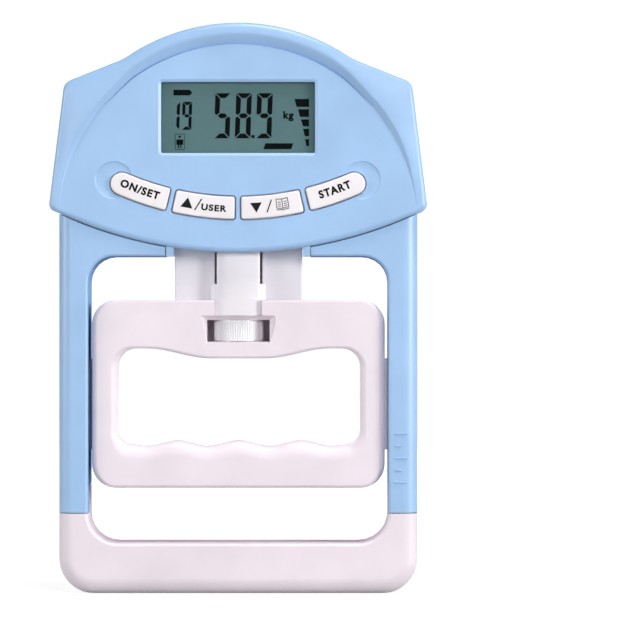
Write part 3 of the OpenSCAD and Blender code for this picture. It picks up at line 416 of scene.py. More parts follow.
# %% The steps at one point
def band(point):
    """The steps across the band at one point of the silhouette, as points in space."""
    ray = Vector(point) - Vector(arch)
    turn = math.degrees(math.atan2(ray.y, ray.x))
    way = ray.normalized()
    width = ray.length - panel_edge(way, turn)
    full, edge = fade("arch", turn), fade("edge", turn)
    ridge = SINK * fade("ridge", turn)
    slope = max(0.3 * MM, min((SLOPE + ARCH_SLOPE * full) * ridge / SINK, 0.6 * width))
    foot = RIM_STEP * fade("step", turn)
    rest = width - slope
    rounding = rest + (min(ROUNDING + ARCH_ROUNDING * full, rest - 0.2 * MM) - rest) * edge
    drop = LIP_BEVEL + (DROP + ARCH_DROP * full) * edge
    crown = (CROWN + ARCH_CROWN * full) * fade("crown", turn) * ridge / SINK
    end = math.radians(90 - 35 * full)      # the edge is part of an ellipse across the arch
    steps = []
    for k in range(EDGE_STEPS + 1):
        a = end * k / EDGE_STEPS
        steps.append((rounding * (1 - math.cos(a)) / (1 - math.cos(end)),
                      ridge - crown - drop * (1 - math.sin(a) / math.sin(end))))
    flat = width - 0.95 * slope - rounding
    steps += [(rounding + t * flat, ridge - crown * (1 - t) ** 2) for t in (0.25, 0.5, 0.75)]
    steps.append((width - 0.95 * slope, ridge - 0.01 * MM))
    steps += [(width - across * slope, ridge - down * (ridge + foot))
              for across, down in ((0.82, 0.06), (0.6, 0.27), (0.3, 0.65))]
    steps += [(width - 0.02 * MM, -foot), (width + 0.12 * MM, 0)]
    return [(arch[0] + way.x * (ray.length - s), face_y - h, arch[1] + way.y * (ray.length - s))
            for s, h in steps]


print("steps across the band:", len(band(half[0])))


# %% Loft the shell of the head
def both_rings(half_rings):
    """Rings given for the right half, with their mirror images."""
    return [ring + [(-x, y, z) for x, y, z in reversed(ring) if x > 1e-6] for ring in half_rings]


SEAM = 0.35 * MM
head_skin = loft("head_front", [
    at_depth(inset(silhouette, WALL), inner_y), at_depth(inset(silhouette, WALL), 0),
    at_depth(inset(silhouette, SEAM), 0), at_depth(silhouette, -SEAM),
    *both_rings([list(step) for step in zip(*map(band, half))])])
print("head shell", [round(v / MM, 1) for v in head_skin.dimensions])

# %% [markdown]
# ### Openings of the head
# The screen's opening has a bevelled edge all round, and behind it lies the seat of the clear
# window. The keys share one curved row, so their holes are drawn with the same outline as the keys.
# A thumb-sized dimple lies at each end of the row. All of these are cut with lofted tools, because a
# tool that widens towards the front leaves its own bevel.

# %% Screen opening
WINDOW = (-26.2 * MM, 26.2 * MM, 150.1 * MM, 174.3 * MM)
BEVEL, BEVEL_DEPTH = 0.9 * MM, 0.5 * MM
SEAT_PLAY = 0.1 * MM
HOLE_BACK = -10 * MM
window = rounded_box(*WINDOW, 0.6 * MM, 4)
seat = rounded_box(lens_low.x - SEAT_PLAY, lens_high.x + SEAT_PLAY,
                   lens_low.z - SEAT_PLAY, lens_high.z + SEAT_PLAY, 0.8 * MM, 4)
cutters = [
    loft("screen_cut", [at_depth(window, HOLE_BACK), at_depth(window, face_y + BEVEL_DEPTH),
                        at_depth(inset(window, -2 * BEVEL), face_y - BEVEL_DEPTH)]),
    loft("lens_seat", [at_depth(seat, y) for y in (-11 * MM, lens_low.y)])]
print("screen opening", [round((WINDOW[i + 1] - WINDOW[i]) / MM, 1) for i in (0, 2)], "mm")

# %% The keys' curved row
KEY_ROW = (0, 229.9 * MM)
ROW_R = 98.5 * MM
KEY_H = 7.6 * MM
KEY_GAP, HOLE_FLARE = 0.42, 0.8
# where each key starts and ends, in mm along the row
SPANS = {"key_power": (-44.45, -24.05), "key_up": (-21.75, -1.15),
         "key_down": (1.15, 21.75), "key_start": (24.05, 44.45)}


def row_place(s, off=0.0):
    """A place s mm along the curved row and off mm above its middle line."""
    return on_circle(KEY_ROW, ROW_R - off * MM, math.degrees(s * MM / ROW_R) - 90)


def key_end(s, sign, half_h, grow, is_round):
    """The upper half of one end of a key, from its middle line, and the radius of its corner."""
    radius, steps = (half_h, 8) if is_round else (max(0.1, 0.7 + grow), 3)
    quarter = []
    for k in range(steps + 1):
        a = math.radians(90 * k / steps)
        quarter.append((s - sign * radius * (1 - math.sin(a)), half_h - radius * (1 - math.cos(a))))
    if is_round:
        quarter[-1] = (s, 0.02 * half_h)    # keeps the two middle points apart
    return radius, quarter


def key_outline(span, grow=0.0):
    """A key seen from the front, anticlockwise. The row's outermost ends are round."""
    half_h, low_s, high_s = KEY_H / MM / 2 + grow, span[0] - grow, span[1] + grow
    right_r, right = key_end(high_s, 1, half_h, grow, span[1] > 30)
    left_r, left = key_end(low_s, -1, half_h, grow, span[0] < -30)
    length = high_s - low_s - left_r - right_r
    run = [low_s + left_r + length * k / 10 for k in range(1, 10)]
    return ([row_place(s, -half_h) for s in run] + [row_place(s, -h) for s, h in right]
            + [row_place(s, h) for s, h in reversed(right)]
            + [row_place(s, half_h) for s in reversed(run)]
            + [row_place(s, h) for s, h in left] + [row_place(s, -h) for s, h in reversed(left)])


for name, span in SPANS.items():
    cutters.append(loft("key_cut", [
        at_depth(key_outline(span, KEY_GAP), HOLE_BACK),
        at_depth(key_outline(span, KEY_GAP), face_y + 0.25 * MM),
        at_depth(key_outline(span, HOLE_FLARE), face_y - 0.25 * MM)]))
print(len(cutters), "tools for the screen and the keys")

# %% Dimples
# radius of each ring and its height above the face, in mm
DIMPLE = [(6.9, 0.3), (6.5, 0), (6.15, -0.3), (5.5, -0.5), (4, -0.62), (2, -0.68)]
for side in (-1, 1):
    centre = (side * 42.2 * MM, 140.9 * MM)
    cutters.append(loft("dimple_cut", [
        at_depth(arc(centre, r * MM, 0, 351, 39), face_y - h * MM) for r, h in DIMPLE]))
print("dimples", 2 * DIMPLE[1][0], "mm across")

# %% The way in for the neck, and the short webs beside it
neck_low, neck_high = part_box("neck")
NECK_WAY, SLEEVE_WAY = 22.3 * MM, 7.9 * MM
WEB_X, WEB_HALF, WEB_RISE = 23.25 * MM, 1.25 * MM, 4.5 * MM
cutters.append(block((-NECK_WAY, -4.5 * MM, head_low.z - MM), (NECK_WAY, MM, neck_high.z)))
cutters.append(block((-SLEEVE_WAY, -9.3 * MM, head_low.z - MM), (SLEEVE_WAY, -3 * MM, neck_high.z)))
boolean(head_skin, cutters)
webs = [block((side * WEB_X - WEB_HALF, -12 * MM, head_low.z),
              (side * WEB_X + WEB_HALF, -0.1 * MM, head_low.z + WEB_RISE)) for side in (-1, 1)]
boolean(head_skin, webs, "UNION")
finished(head_skin, "frame", blue, ["head_cover"], angle=19)
print("head", len(head_skin.data.vertices), "vertices")

# %% [markdown]
# ### Keys
# Each key is a separate cap with a soft edge and a slightly domed top, and a flange behind the panel
# keeps it in. The cap is lofted from the same outline as its hole, which leaves an even gap.

# %% Key caps
FLANGE, FLANGE_BACK, FLANGE_FRONT = 0.8, -10.4 * MM, -11.2 * MM
EDGE_W, EDGE_DEPTH, DOME = 0.55, 0.5, 0.06
key_tops = {}
for name, span in SPANS.items():
    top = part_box(name)[0].y
    flange = key_outline(span, FLANGE)
    rings = [at_depth(flange, FLANGE_BACK), at_depth(flange, FLANGE_FRONT),
             at_depth(key_outline(span), FLANGE_FRONT),
             at_depth(key_outline(span), top + EDGE_DEPTH * MM)]
    for k in range(1, 6):
        a = math.radians(18 * k)
        edge = key_outline(span, -EDGE_W * (1 - math.cos(a)))
        rings.append(at_depth(edge, top + (EDGE_DEPTH - (EDGE_DEPTH - DOME) * math.sin(a)) * MM))
    for grow, y in ((-1.3, 0.03), (-2.4, 0.01), (-3.2, 0)):
        rings.append(at_depth(key_outline(span, grow), top + y * MM))
    cap = loft(name + "_cap", rings)
    finished(cap, name, key_white, [name], angle=40)
    key_tops[name] = top

# %% [markdown]
# ### Printed marks
# Print is a film of ink, so each mark is a very thin solid that lies just above its key. One key has
# two words on it, one has a single word, one has a triangle and a word, and one has a triangle and a
# small open book. Letters come from the plain built-in lettering, turned into a mesh, scaled to the
# height wanted, and then bent along the row of keys.

# %% Lettering and symbols
INK = 0.04 * MM
LETTER_SPACE = 1.2


def lettering(name, body, height, length, weight, put, y):
    """Letters centred on (0, 0), where put(u, v) gives the place of a point in mm."""
    bpy.ops.object.select_all(action="DESELECT")
    bpy.ops.object.text_add()
    text = bpy.context.object
    text.data.body, text.data.offset, text.data.extrude = body, weight, 0.02
    text.data.space_character = LETTER_SPACE
    bpy.ops.object.convert(target="MESH")
    text = bpy.context.object
    text.name = text.data.name = name
    corners = [v.co.copy() for v in text.data.vertices]
    low = [min(c[i] for c in corners) for i in range(3)]
    size = [max(c[i] for c in corners) - low[i] for i in range(3)]
    for v, c in zip(text.data.vertices, corners):
        u, w, t = [(c[i] - low[i]) / size[i] for i in range(3)]
        x, z = put((u - 0.5) * length, (w - 0.5) * height)
        v.co = (x, y - t * INK, z)
    return text


def shapes(name, outlines, y):
    """Flat shapes of ink, joined into one piece."""
    return joined(*[loft(name, [at_depth(shape, y), at_depth(shape, y - INK)]) for shape in outlines])


def stroke(a, b, width):
    """A straight stroke from a to b."""
    side = (Vector(b) - Vector(a)).normalized() * width / 2
    return [(a[0] + side.y, a[1] - side.x), (b[0] + side.y, b[1] - side.x),
            (b[0] - side.y, b[1] + side.x), (a[0] - side.y, a[1] + side.x)]


def along(s, v=0.0):
    """A function that puts a point in mm onto the row, round the place s."""
    return lambda u, w: row_place(s + u, v + w)


def on_row(s, v, outline):
    """An outline in mm, put onto the row round the place s."""
    return [along(s, v)(u, w) for u, w in outline]


print("ink is", INK / MM, "mm thick")

# %% Marks on the keys
UP = ((-2.05, -1.65), (2.05, -1.65), (0, 1.85))
DOWN = ((0, -1.65), (2, 1.65), (-2, 1.65))
SLASH = stroke((-0.95, -2.05), (0.95, 2.05), 0.4)
# the strokes of the book's right page, which are mirrored for the left one
PAGE = [((0, -1.5), (2.0, -1.2)), ((2.0, -1.2), (2.0, 1.9)), ((2.0, 1.9), (0, 1.7)),
        ((0, -2.0), (2.2, -1.7))]
PAGE += [((0.5, v), (1.5, v + 0.12)) for v in (-0.7, 0.0, 0.7)]
BOOK = [((0, -1.5), (0, 1.7))] + PAGE + [((-a, b), (-c, d)) for (a, b), (c, d) in PAGE]
top = {name: y - 0.005 * MM for name, y in key_tops.items()}
marks = {
    "key_power": [lettering("mark_on_set", "ON/SET", 2.75, 14.0, 0.046, along(-34.1, 0.35),
                            top["key_power"])],
    "key_up": [shapes("mark_up", [on_row(-17.4, 0.2, UP), on_row(-13.6, 0.2, SLASH)], top["key_up"]),
               lettering("mark_user", "USER", 2.25, 8.6, 0.042, along(-8.15, -0.35), top["key_up"])],
    "key_down": [shapes("mark_down", [on_row(6.2, -0.1, DOWN), on_row(10.7, 0.1, SLASH)],
                        top["key_down"]),
                 shapes("mark_book", [on_row(15.2, 0.2, stroke(a, b, 0.24)) for a, b in BOOK],
                        top["key_down"])],
    "key_start": [lettering("mark_start", "START", 2.85, 11.4, 0.046, along(33.75, 0.45),
                            top["key_start"])]}
for name, pieces in marks.items():
    finished(joined(*pieces), name, print_ink)

# %% [markdown]
# ## The screen
# Behind the clear window lies the panel, with a few dark segments on it: the user's number with a
# small figure, three large digits with a point, the unit, and a ladder of bars. The tags of the
# screen are left without words. Segments are drawn as outlines, like print, because a liquid-crystal
# panel shows them as flat dark shapes with thin gaps between them.

# %% Digits of seven segments
def digit(x, z, width, height, bar, lit, gap=0.26, lean=2.0):
    """The lit segments of one digit, whose lower left corner is at (x, z). Everything is in mm."""
    w, h, t, g, m = width, height, bar, gap, height / 2
    segments = {
        "a": [(g, h), (w - g, h), (w - t - g, h - t), (t + g, h - t)],
        "d": [(g, 0), (t + g, t), (w - t - g, t), (w - g, 0)],
        "g": [(0.5 * t + g, m), (t + g, m + t / 2), (w - t - g, m + t / 2),
              (w - 0.5 * t - g, m), (w - t - g, m - t / 2), (t + g, m - t / 2)],
        "f": [(0, h - g), (t, h - t - g), (t, m + t / 2 + g), (0.4 * t, m + g), (0, m + 0.3 * t + g)],
        "e": [(0, m - 0.3 * t - g), (0.4 * t, m - g), (t, m - t / 2 - g), (t, t + g), (0, g)]}
    segments["b"] = [(w - u, v) for u, v in segments["f"]]
    segments["c"] = [(w - u, v) for u, v in segments["e"]]
    slope = math.tan(math.radians(lean))
    return [[((x + u + slope * v) * MM, (z + v) * MM) for u, v in segments[key]] for key in lit]


def panel(points):
    """An outline given in mm."""
    return [(x * MM, z * MM) for x, z in points]


def oblong(x0, x1, z0, z1):
    """A plain rectangle given in mm."""
    return panel([(x0, z0), (x1, z0), (x1, z1), (x0, z1)])


# %% Reading and user's number
BIG = {"z": 155.2, "width": 5.3, "height": 15.35, "bar": 1.62}
SMALL = {"z": 158.1, "width": 3.25, "height": 9.5, "bar": 1.05, "gap": 0.14}
FIVE, EIGHT, NINE, ONE = "afgcd", "abcdefg", "abfgcd", "bc"
segments = digit(-8.23, lit=FIVE, **BIG) + digit(-1.13, lit=EIGHT, **BIG) + digit(6.0, lit=NINE, **BIG)
segments += digit(-23.3, lit=ONE, **SMALL) + digit(-19.2, lit=NINE, **SMALL)
segments.append(oblong(4.6, 5.6, 155.25, 156.3))
print("digits of", len(segments), "segments")

# %% Ladder, tags and the small figure
LADDER_X = 24.15
# the left side's x at the top and at the bottom of each bar, then the z of its bottom and its top
ladder = [(19.2, 19.95, 165.9, 168.6), (20.4, 21.1, 162.5, 165.1), (21.4, 22.15, 159.3, 161.6),
          (22.1, 22.8, 155.9, 158.4), (22.8, 23.3, 152.6, 154.9)]
segments += [panel([(foot, low_z), (LADDER_X, low_z), (LADDER_X, high_z), (head, high_z)])
             for head, foot, low_z, high_z in ladder]
segments.append(panel([(-22, 169.8), (-16.5, 169.8), (-15.6, 170.75), (-16.5, 171.7), (-22, 171.7)]))
segments.append(panel([(8.65, 151.5), (18.1, 151.5), (18.8, 153.5), (9.35, 153.5)]))
box_corners = [(-21.4, 151.4), (-18.3, 151.4), (-18.3, 156.6), (-21.4, 156.6)]
segments += [panel(stroke(a, b, 0.16)) for a, b in zip(box_corners, box_corners[1:] + box_corners[:1])]
segments.append(arc((-19.9 * MM, 155.7 * MM), 0.42 * MM, 0, 330, 11))
segments.append(oblong(-21, -18.7, 153, 154.8))
segments += [panel(stroke((x, 151.9), (x, 153.1), 0.42)) for x in (-20.3, -19.5)]
panel_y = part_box("lcd_panel")[0].y - 0.01 * MM
screen_marks = joined(
    shapes("screen_segments", segments, panel_y),
    lettering("unit", "kg", 3.45, 3.5, 0.04, lambda u, w: ((17.15 + u) * MM, (162.75 + w) * MM), panel_y))
finished(screen_marks, "frame", segment_ink)

# %% Clear window, with a polished edge
POLISH = 0.15 * MM
pane = [rounded_box(lens_low.x + d, lens_high.x - d, lens_low.z + d, lens_high.z - d, 0.7 * MM, 4)
        for d in (0, POLISH)]
clear = loft("screen_window", [
    at_depth(pane[0], inner_y - 0.1 * MM), at_depth(pane[0], lens_low.y + POLISH),
    at_depth(pane[1], lens_low.y)])
finished(clear, "frame", lens_clear, ["lens"])


# %% [markdown]
# ## The grip
# The grip is two mouldings with a shadow line where they meet. Its outer edges are rounded at the
# sides and nearly sharp along the top. In the finger window the lower edge is the softest, because
# the fingers pull on it, and its grooves show as a pale scalloped band. The window is cut with a
# lofted tool that flares like a trumpet, which leaves exactly that rounding behind.

# %% Soft edges that vary round an outline
def facing(outline):
    """The outward direction at each point."""
    turn = 1 if area(outline) > 0 else -1
    ways = []
    for i in range(len(outline)):
        t = (Vector(outline[(i + 1) % len(outline)]) - Vector(outline[i - 1])).normalized() * turn
        ways.append((t.y, -t.x))
    return ways


def soft_edge(outline, front, width, drop, flare=False, steps=6):
    """Rings of a rounded edge in front of y = 0. width and drop are functions of
    (x, z, outward x, outward z). flare makes the rings of a cutting tool."""
    rules = [(x, z, *way) for (x, z), way in zip(outline, facing(outline))]
    widths, drops = [width(*r) for r in rules], [drop(*r) for r in rules]
    sign = -1 if flare else 1
    rings = []
    for k in range(steps + (0 if flare else 1)):
        a = math.radians(90 * k / steps)
        ring = inset(outline, [sign * w * (1 - math.cos(a)) for w in widths])
        rings.append([(x, front + d * (1 - math.sin(a)), z) for (x, z), d in zip(ring, drops)])
    if flare:
        last = inset(outline, [-w for w in widths])
        rings.append([(x, front - 0.004 * d, z) for (x, z), d in zip(last, drops)])
        rings.append(at_depth(last, front - MM))
    return rings


def turned(rings, side):
    """Rings as they are for the front (side -1), or turned to the back (side 1)."""
    return [[(x, -side * y, z) for x, y, z in ring] for ring in rings]


def rod(x, z, radius, y0, y1, steps=24):
    """A round bar that runs from front to back, to cut with."""
    ring = arc((x, z), radius, 0, 360 - 360 / steps, steps - 1)
    return loft("rod", [at_depth(ring, y0), at_depth(ring, y1)])


def mix(a, b, t):
    """Between a (t = 0) and b (t = 1)."""
    return a + (b - a) * t


square = rounded_box(-1, 1, -1, 1, 0.1)
print("the first corner of a square faces", [round(v, 2) for v in facing(square)[0]])

# %% Outlines of the grip
grip_low, grip_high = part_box("grip_front")
GRIP_X, GRIP_Z0, GRIP_Z1, GRIP_Y = grip_high.x, grip_low.z, grip_high.z, grip_low.y
GRIP_R, SIDE_W, TOP_H, BAR_H = 8.2 * MM, 8.4 * MM, 16.5 * MM, 14 * MM
grip_outline = rounded_box(-GRIP_X, GRIP_X, GRIP_Z0, GRIP_Z1, GRIP_R, 10)
SCALLOP, FINGER_PITCH = 1.9 * MM, 21.3 * MM
DIP, DIP_START, DIP_LENGTH = 3.4 * MM, 9.5, 22.1
window_x, window_top, window_low = GRIP_X - SIDE_W, GRIP_Z1 - TOP_H, GRIP_Z0 + BAR_H


def window_half():
    """The finger window: a wide dip under the thumbwheel, and below it a groove for each finger."""
    waves = [(x * MM, window_low + SCALLOP / 2 * (1 + math.cos(2 * math.pi * x * MM / FINGER_PITCH)))
             for x in [36 - 1.2 * i for i in range(30)] + [0]]
    dip = []
    for i in range(13):
        t = i / 12
        dip.append(((DIP_START + DIP_LENGTH * t) * MM,
                    window_top - DIP * (1 + math.cos(math.pi * t)) / 2))
    return ([(0, window_top - DIP), (4 * MM, window_top - DIP)] + dip
            + corner(dip[-1], (window_x, window_top), (window_x, window_low), 6.5 * MM, 9)
            + [(window_x, mix(window_top, window_low, t)) for t in (0.35, 0.5, 0.65)]
            + corner((window_x, window_top), (window_x, waves[0][1]), waves[0], 5 * MM, 9)[:-1]
            + waves)


finger_window = both_sides(window_half())
print("grip outline", len(grip_outline), "points, finger window", len(finger_window))


# %% How soft the edges are
# Each rule takes a point of the outline and its outward direction.
def outer_edge(x, z, out_x, out_z):
    return mix(0.8 * MM if out_z > 0 else 1.2 * MM, 2.1 * MM, abs(out_x) ** 1.5)


def lip_width(x, z, out_x, out_z):
    return mix(mix(0.9 * MM, 2.4 * MM, abs(out_x)), 5 * MM, max(0, -out_z) ** 2)


def lip_drop(x, z, out_x, out_z):
    return mix(mix(0.9 * MM, 2.6 * MM, abs(out_x)), 3.6 * MM, max(0, -out_z) ** 2)


print("the finger edge is", round(lip_width(0, 0, 0, -1) / MM, 1), "mm wide at the grooves")

# %% Places for the thumbwheel, the neck and the screws
knob_low, knob_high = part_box("knob")
sill, ceiling = knob_low.z - 0.1 * MM, knob_high.z + 0.1 * MM
WHEEL_WAY, WHEEL_BEVEL, REAR_WAY = 10.7 * MM, 3.1 * MM, 6.8 * MM
NECK_SLOT_X, NECK_SLOT_Y, NOTCH_X = 21.9 * MM, 4.1 * MM, 8 * MM
SEAT_R, SEAT_DEPTH = 2.45 * MM, 2.6 * MM
slot_floor = GRIP_Z1 - 5.4 * MM
screw_heads = [(side * 30 * MM, z) for side in (-1, 1) for z in (GRIP_Z0 + 7 * MM, GRIP_Z1 - 8.2 * MM)]


def wheel_frame(d):
    """The thumbwheel's window, grown by d at its top corners and by less at the sill."""
    return [(-WHEEL_WAY - 0.15 * d, sill - 0.15 * d), (WHEEL_WAY + 0.15 * d, sill - 0.15 * d),
            (WHEEL_WAY + d, ceiling + 0.75 * d), (-WHEEL_WAY - d, ceiling + 0.75 * d)]


def front_ways():
    """What is cut from the front half only: the thumbwheel's window and the sleeve's notch."""
    return [block((-WHEEL_WAY, -20 * MM, sill), (WHEEL_WAY, MM, ceiling)),
            block((-NOTCH_X, -20 * MM, slot_floor), (NOTCH_X, MM, GRIP_Z1 + MM))]


def rear_ways():
    """What is cut from the rear half only: a pocket, a narrow window and the screws' seats."""
    half_ring = arc((0, 0), 7.5 * MM, 0, 352, 44)
    tools = [loft("sleeve_way", [[(x, y, z) for x, y in half_ring] for z in (slot_floor, GRIP_Z1 + MM)]),
             block((-WHEEL_WAY, -MM, sill), (WHEEL_WAY, 5 * MM, ceiling)),
             block((-REAR_WAY, 0, sill), (REAR_WAY, 20 * MM, ceiling))]
    return tools + [rod(x, z, SEAT_R, -GRIP_Y - SEAT_DEPTH, -GRIP_Y + MM) for x, z in screw_heads]


print("thumbwheel window", round((ceiling - sill) / MM, 1), "mm high")


# %% One half of the grip
def grip_half(name, side):
    """The block with its soft edge, from which the windows and the ways are cut."""
    piece = loft(name, turned([
        at_depth(inset(grip_outline, 0.3 * MM), 0), at_depth(grip_outline, -0.3 * MM),
        *soft_edge(grip_outline, GRIP_Y, outer_edge, outer_edge)], side))
    tools = [
        loft("window_cut", turned([
            at_depth(finger_window, MM),
            *soft_edge(finger_window, GRIP_Y, lip_width, lip_drop, True)], side)),
        loft("knob_bevel", turned([
            at_depth(wheel_frame(0), GRIP_Y + 2 * MM),
            at_depth(wheel_frame(WHEEL_BEVEL), GRIP_Y - MM)], side)),
        block((-NECK_SLOT_X, -NECK_SLOT_Y, slot_floor), (NECK_SLOT_X, NECK_SLOT_Y, GRIP_Z1 + MM))]
    return boolean(piece, tools + (front_ways() if side < 0 else rear_ways()))


finished(grip_half("grip_front_half", -1), "grip", pinkish, ["grip_front"], angle=26)
finished(grip_half("grip_rear_half", 1), "grip", pinkish, ["grip_rear"], angle=26)

# %% [markdown]
# ### Thumbwheel
# A small white wheel with fine ridges and chamfered ends, which turns in the grip's upper bar. Its
# rings have four points to each ridge, and a flatter ring at each end makes the chamfer.

# %% Ridges and chamfers
KNOB_R, RIDGES = knob_high.x, 64
CHAMFER = 0.45 * MM
END_R = KNOB_R - 1.1 * MM


def knurled(radius, z, depth=0.0):
    """A ring of ridges: four points to each ridge, two on its crest and two in the groove."""
    ring = []
    for i in range(4 * RIDGES):
        a = math.radians(90 * i / RIDGES) + math.pi / 2
        r = radius - (depth if i % 4 >= 2 else 0)
        ring.append((r * math.cos(a), r * math.sin(a), z))
    return ring


wheel = loft("thumbwheel", [
    knurled(END_R, knob_low.z), knurled(KNOB_R - CHAMFER, knob_low.z + 0.02 * MM),
    knurled(KNOB_R, knob_low.z + CHAMFER, 0.3 * MM), knurled(KNOB_R, knob_high.z - CHAMFER, 0.34 * MM),
    knurled(KNOB_R - CHAMFER, knob_high.z - 0.02 * MM), knurled(END_R, knob_high.z)])
finished(wheel, "knob_wheel", knob_white, ["knob"], angle=25)


# %% [markdown]
# ## The neck
# Two flat plates carry the grip up into the head, and a rounded sleeve covers the draw tube between
# them. A short flare stands on the grip, and a narrow dark slot runs up on each side of the sleeve.
# Everything here is drawn from above and raised, so the round front is one clean column. Below the
# flare a slightly flatter and wider skirt fills the notch in the grip.

# %% Outlines seen from above
SLEEVE_X, SLEEVE_Y, SLEEVE_R = 7.4 * MM, 9.2 * MM, 17 * MM
FLARE_X, FLARE_TOP = 9.35 * MM, GRIP_Z1 + 5.6 * MM
SKIRT_X, SKIRT_R, SKIRT_TOP = 7.85 * MM, 24 * MM, GRIP_Z1 + 0.4 * MM
PLATE_X, PLATE_Y, PLATE_EDGE = 21.8 * MM, 4 * MM, 0.5 * MM
FOOT_X, FOOT_H = 24.2 * MM, 2.7 * MM
TUBE_R = 4.6 * MM
SLOT_NEAR, SLOT_FAR = 7.35 * MM, 8.2 * MM
WEB_FRONT, WEB_BACK = 1.2 * MM, 1.6 * MM      # a thin web is left between the two grooves of a slot
foot, top_end = neck_low.z, neck_high.z


def standing(outline, z):
    """An outline seen from above, raised to the height z."""
    return [(x, y, z) for x, y in outline]


def sleeve_ring(half_width, edge, grow=0.0, radius=SLEEVE_R):
    """The sleeve from above: a wide round front, and straight flanks that end inside the plates."""
    r, x = radius + grow, half_width + grow
    centre_y = radius - SLEEVE_Y
    rim = math.degrees(math.asin((x - edge) / r))
    front = arc((0, centre_y), r, 270 - rim, 270 + rim, 24)
    shoulder_y = front[-1][1] + 0.8 * edge
    return [(-x, 1.5 * MM), (-x, shoulder_y)] + front + [(x, shoulder_y), (x, 1.5 * MM)]


def plates(x, z0, z1):
    """The pair of plates, as one flat block with soft corners."""
    ring = rounded_box(-x, x, -PLATE_Y, PLATE_Y, PLATE_EDGE, 4)
    return loft("plates", [standing(ring, z) for z in (z0, z1)])


print("sleeve ring of", len(sleeve_ring(SLEEVE_X, 0.6 * MM)), "points")

# %% Plates, foot, sleeve and slots
FLARE_STEPS = ((0, GRIP_Z1 + 0.1 * MM), (0, FLARE_TOP - 0.25 * MM), (-0.25 * MM, FLARE_TOP))
neck = plates(PLATE_X, foot, top_end)
boolean(neck, [
    plates(FOOT_X, foot, foot + FOOT_H),
    loft("sleeve", [standing(sleeve_ring(SLEEVE_X, 0.6 * MM), z) for z in (foot, top_end)]),
    loft("skirt", [standing(sleeve_ring(SKIRT_X, 0.4 * MM, 0.1 * MM, SKIRT_R), z)
                   for z in (foot, SKIRT_TOP)]),
    loft("flare", [standing(sleeve_ring(FLARE_X, 0.6 * MM, grow), z) for grow, z in FLARE_STEPS]),
    loft("sleeve_back", [standing(arc((0, 0), SLEEVE_X, 3, 355.5, 47), z) for z in (foot, top_end)])],
    "UNION")
tools = [loft("tube_way", [standing(arc((0, 0), TUBE_R, 0, 345, 23), z)
                           for z in (foot + 6 * MM, top_end + MM)])]
for side in (-1, 1):
    near, far = sorted((side * SLOT_NEAR, side * SLOT_FAR))
    tools += [block((near, -15 * MM, FLARE_TOP), (far, WEB_FRONT, top_end + MM)),
              block((near, WEB_BACK, FLARE_TOP), (far, 20 * MM, top_end + MM))]
boolean(neck, tools)
finished(neck, "grip", cool, ["neck"], angle=28)
print("neck", [round(v / MM, 1) for v in neck.dimensions])


# %% [markdown]
# ## The frame's mouldings
# The arms and the palm bar share one section, so they are lofted together as one closed frame, with
# large roundings outside and a small bevel inside, and then cut apart along their seams. The palm
# bar's inner edge has a wider, paler bevel than the arms have.

# %% Outlines of the frame and its opening
palm_low, palm_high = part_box("palm_bar_front")
FRAME_X, FRAME_Y = arm_high.x, palm_low.y
FOOT_R, INNER_TOP_R, INNER_FOOT_R = 12 * MM, 8.8 * MM, 10 * MM
ARM_W, PALM_H = 10 * MM, 17.2 * MM
opening_x, opening_top = FRAME_X - ARM_W, head_low.z
frame_top = opening_top + 20 * MM
flank = [30 * MM, 60 * MM, 90 * MM]
frame_outline = (corner((-FRAME_X, frame_top), (-FRAME_X, 0), (FRAME_X, 0), FOOT_R, 10)
                 + [(x * MM, 0) for x in (-30, 0, 30)]
                 + corner((-FRAME_X, 0), (FRAME_X, 0), (FRAME_X, frame_top), FOOT_R, 10)
                 + [(FRAME_X, z) for z in flank] + [(FRAME_X, frame_top), (-FRAME_X, frame_top)]
                 + [(-FRAME_X, z) for z in reversed(flank)])


def opening_half():
    """The opening for the hand, from the middle of its top to the middle of its foot."""
    top, side, low = (0, opening_top), (opening_x, opening_top), (opening_x, PALM_H)
    return ([top, (20 * MM, opening_top)] + corner(top, side, low, INNER_TOP_R, 10)
            + [(opening_x, z * MM) for z in (90, 60, 36)]
            + corner(side, low, (0, PALM_H), INNER_FOOT_R, 12) + [(20 * MM, PALM_H), (0, PALM_H)])


opening = both_sides(opening_half())
print("opening", round(2 * opening_x / MM, 1), "mm wide, of", len(opening), "points")


# %% How soft the frame's edges are
def outer_width(x, z, out_x, out_z):
    return 5.4 * MM


def outer_drop(x, z, out_x, out_z):
    return 4.5 * MM


def inner_width(x, z, out_x, out_z):
    return mix(1.0 * MM, 1.2 * MM, ramp(-z, -36 * MM, -28 * MM))


print("inner bevel", [round(inner_width(0, z * MM, 0, 0) / MM, 1) for z in (60, 17)], "mm")

# %% What is cut out of the frame
SLOT_IN, SLOT_OUT, SLOT_Z0, SLOT_Z1 = 50 * MM, 55.2 * MM, 42.8 * MM, 93.1 * MM
LIP_GAP = 0.3 * MM
NECK_GAP, NECK_GAP_BACK = 24.8 * MM, 24.56 * MM
# far enough to cut right through: in front of the frame, behind it, and above the head
AHEAD, BEHIND, HIGH = -30 * MM, 10 * MM, 200 * MM


def arm_slot(side):
    """The slot in which the grip's guide runs, in the arm on this side."""
    near, far = sorted((side * SLOT_IN, side * SLOT_OUT))
    return block((near, -4 * MM, SLOT_Z0), (far, BEHIND, SLOT_Z1))


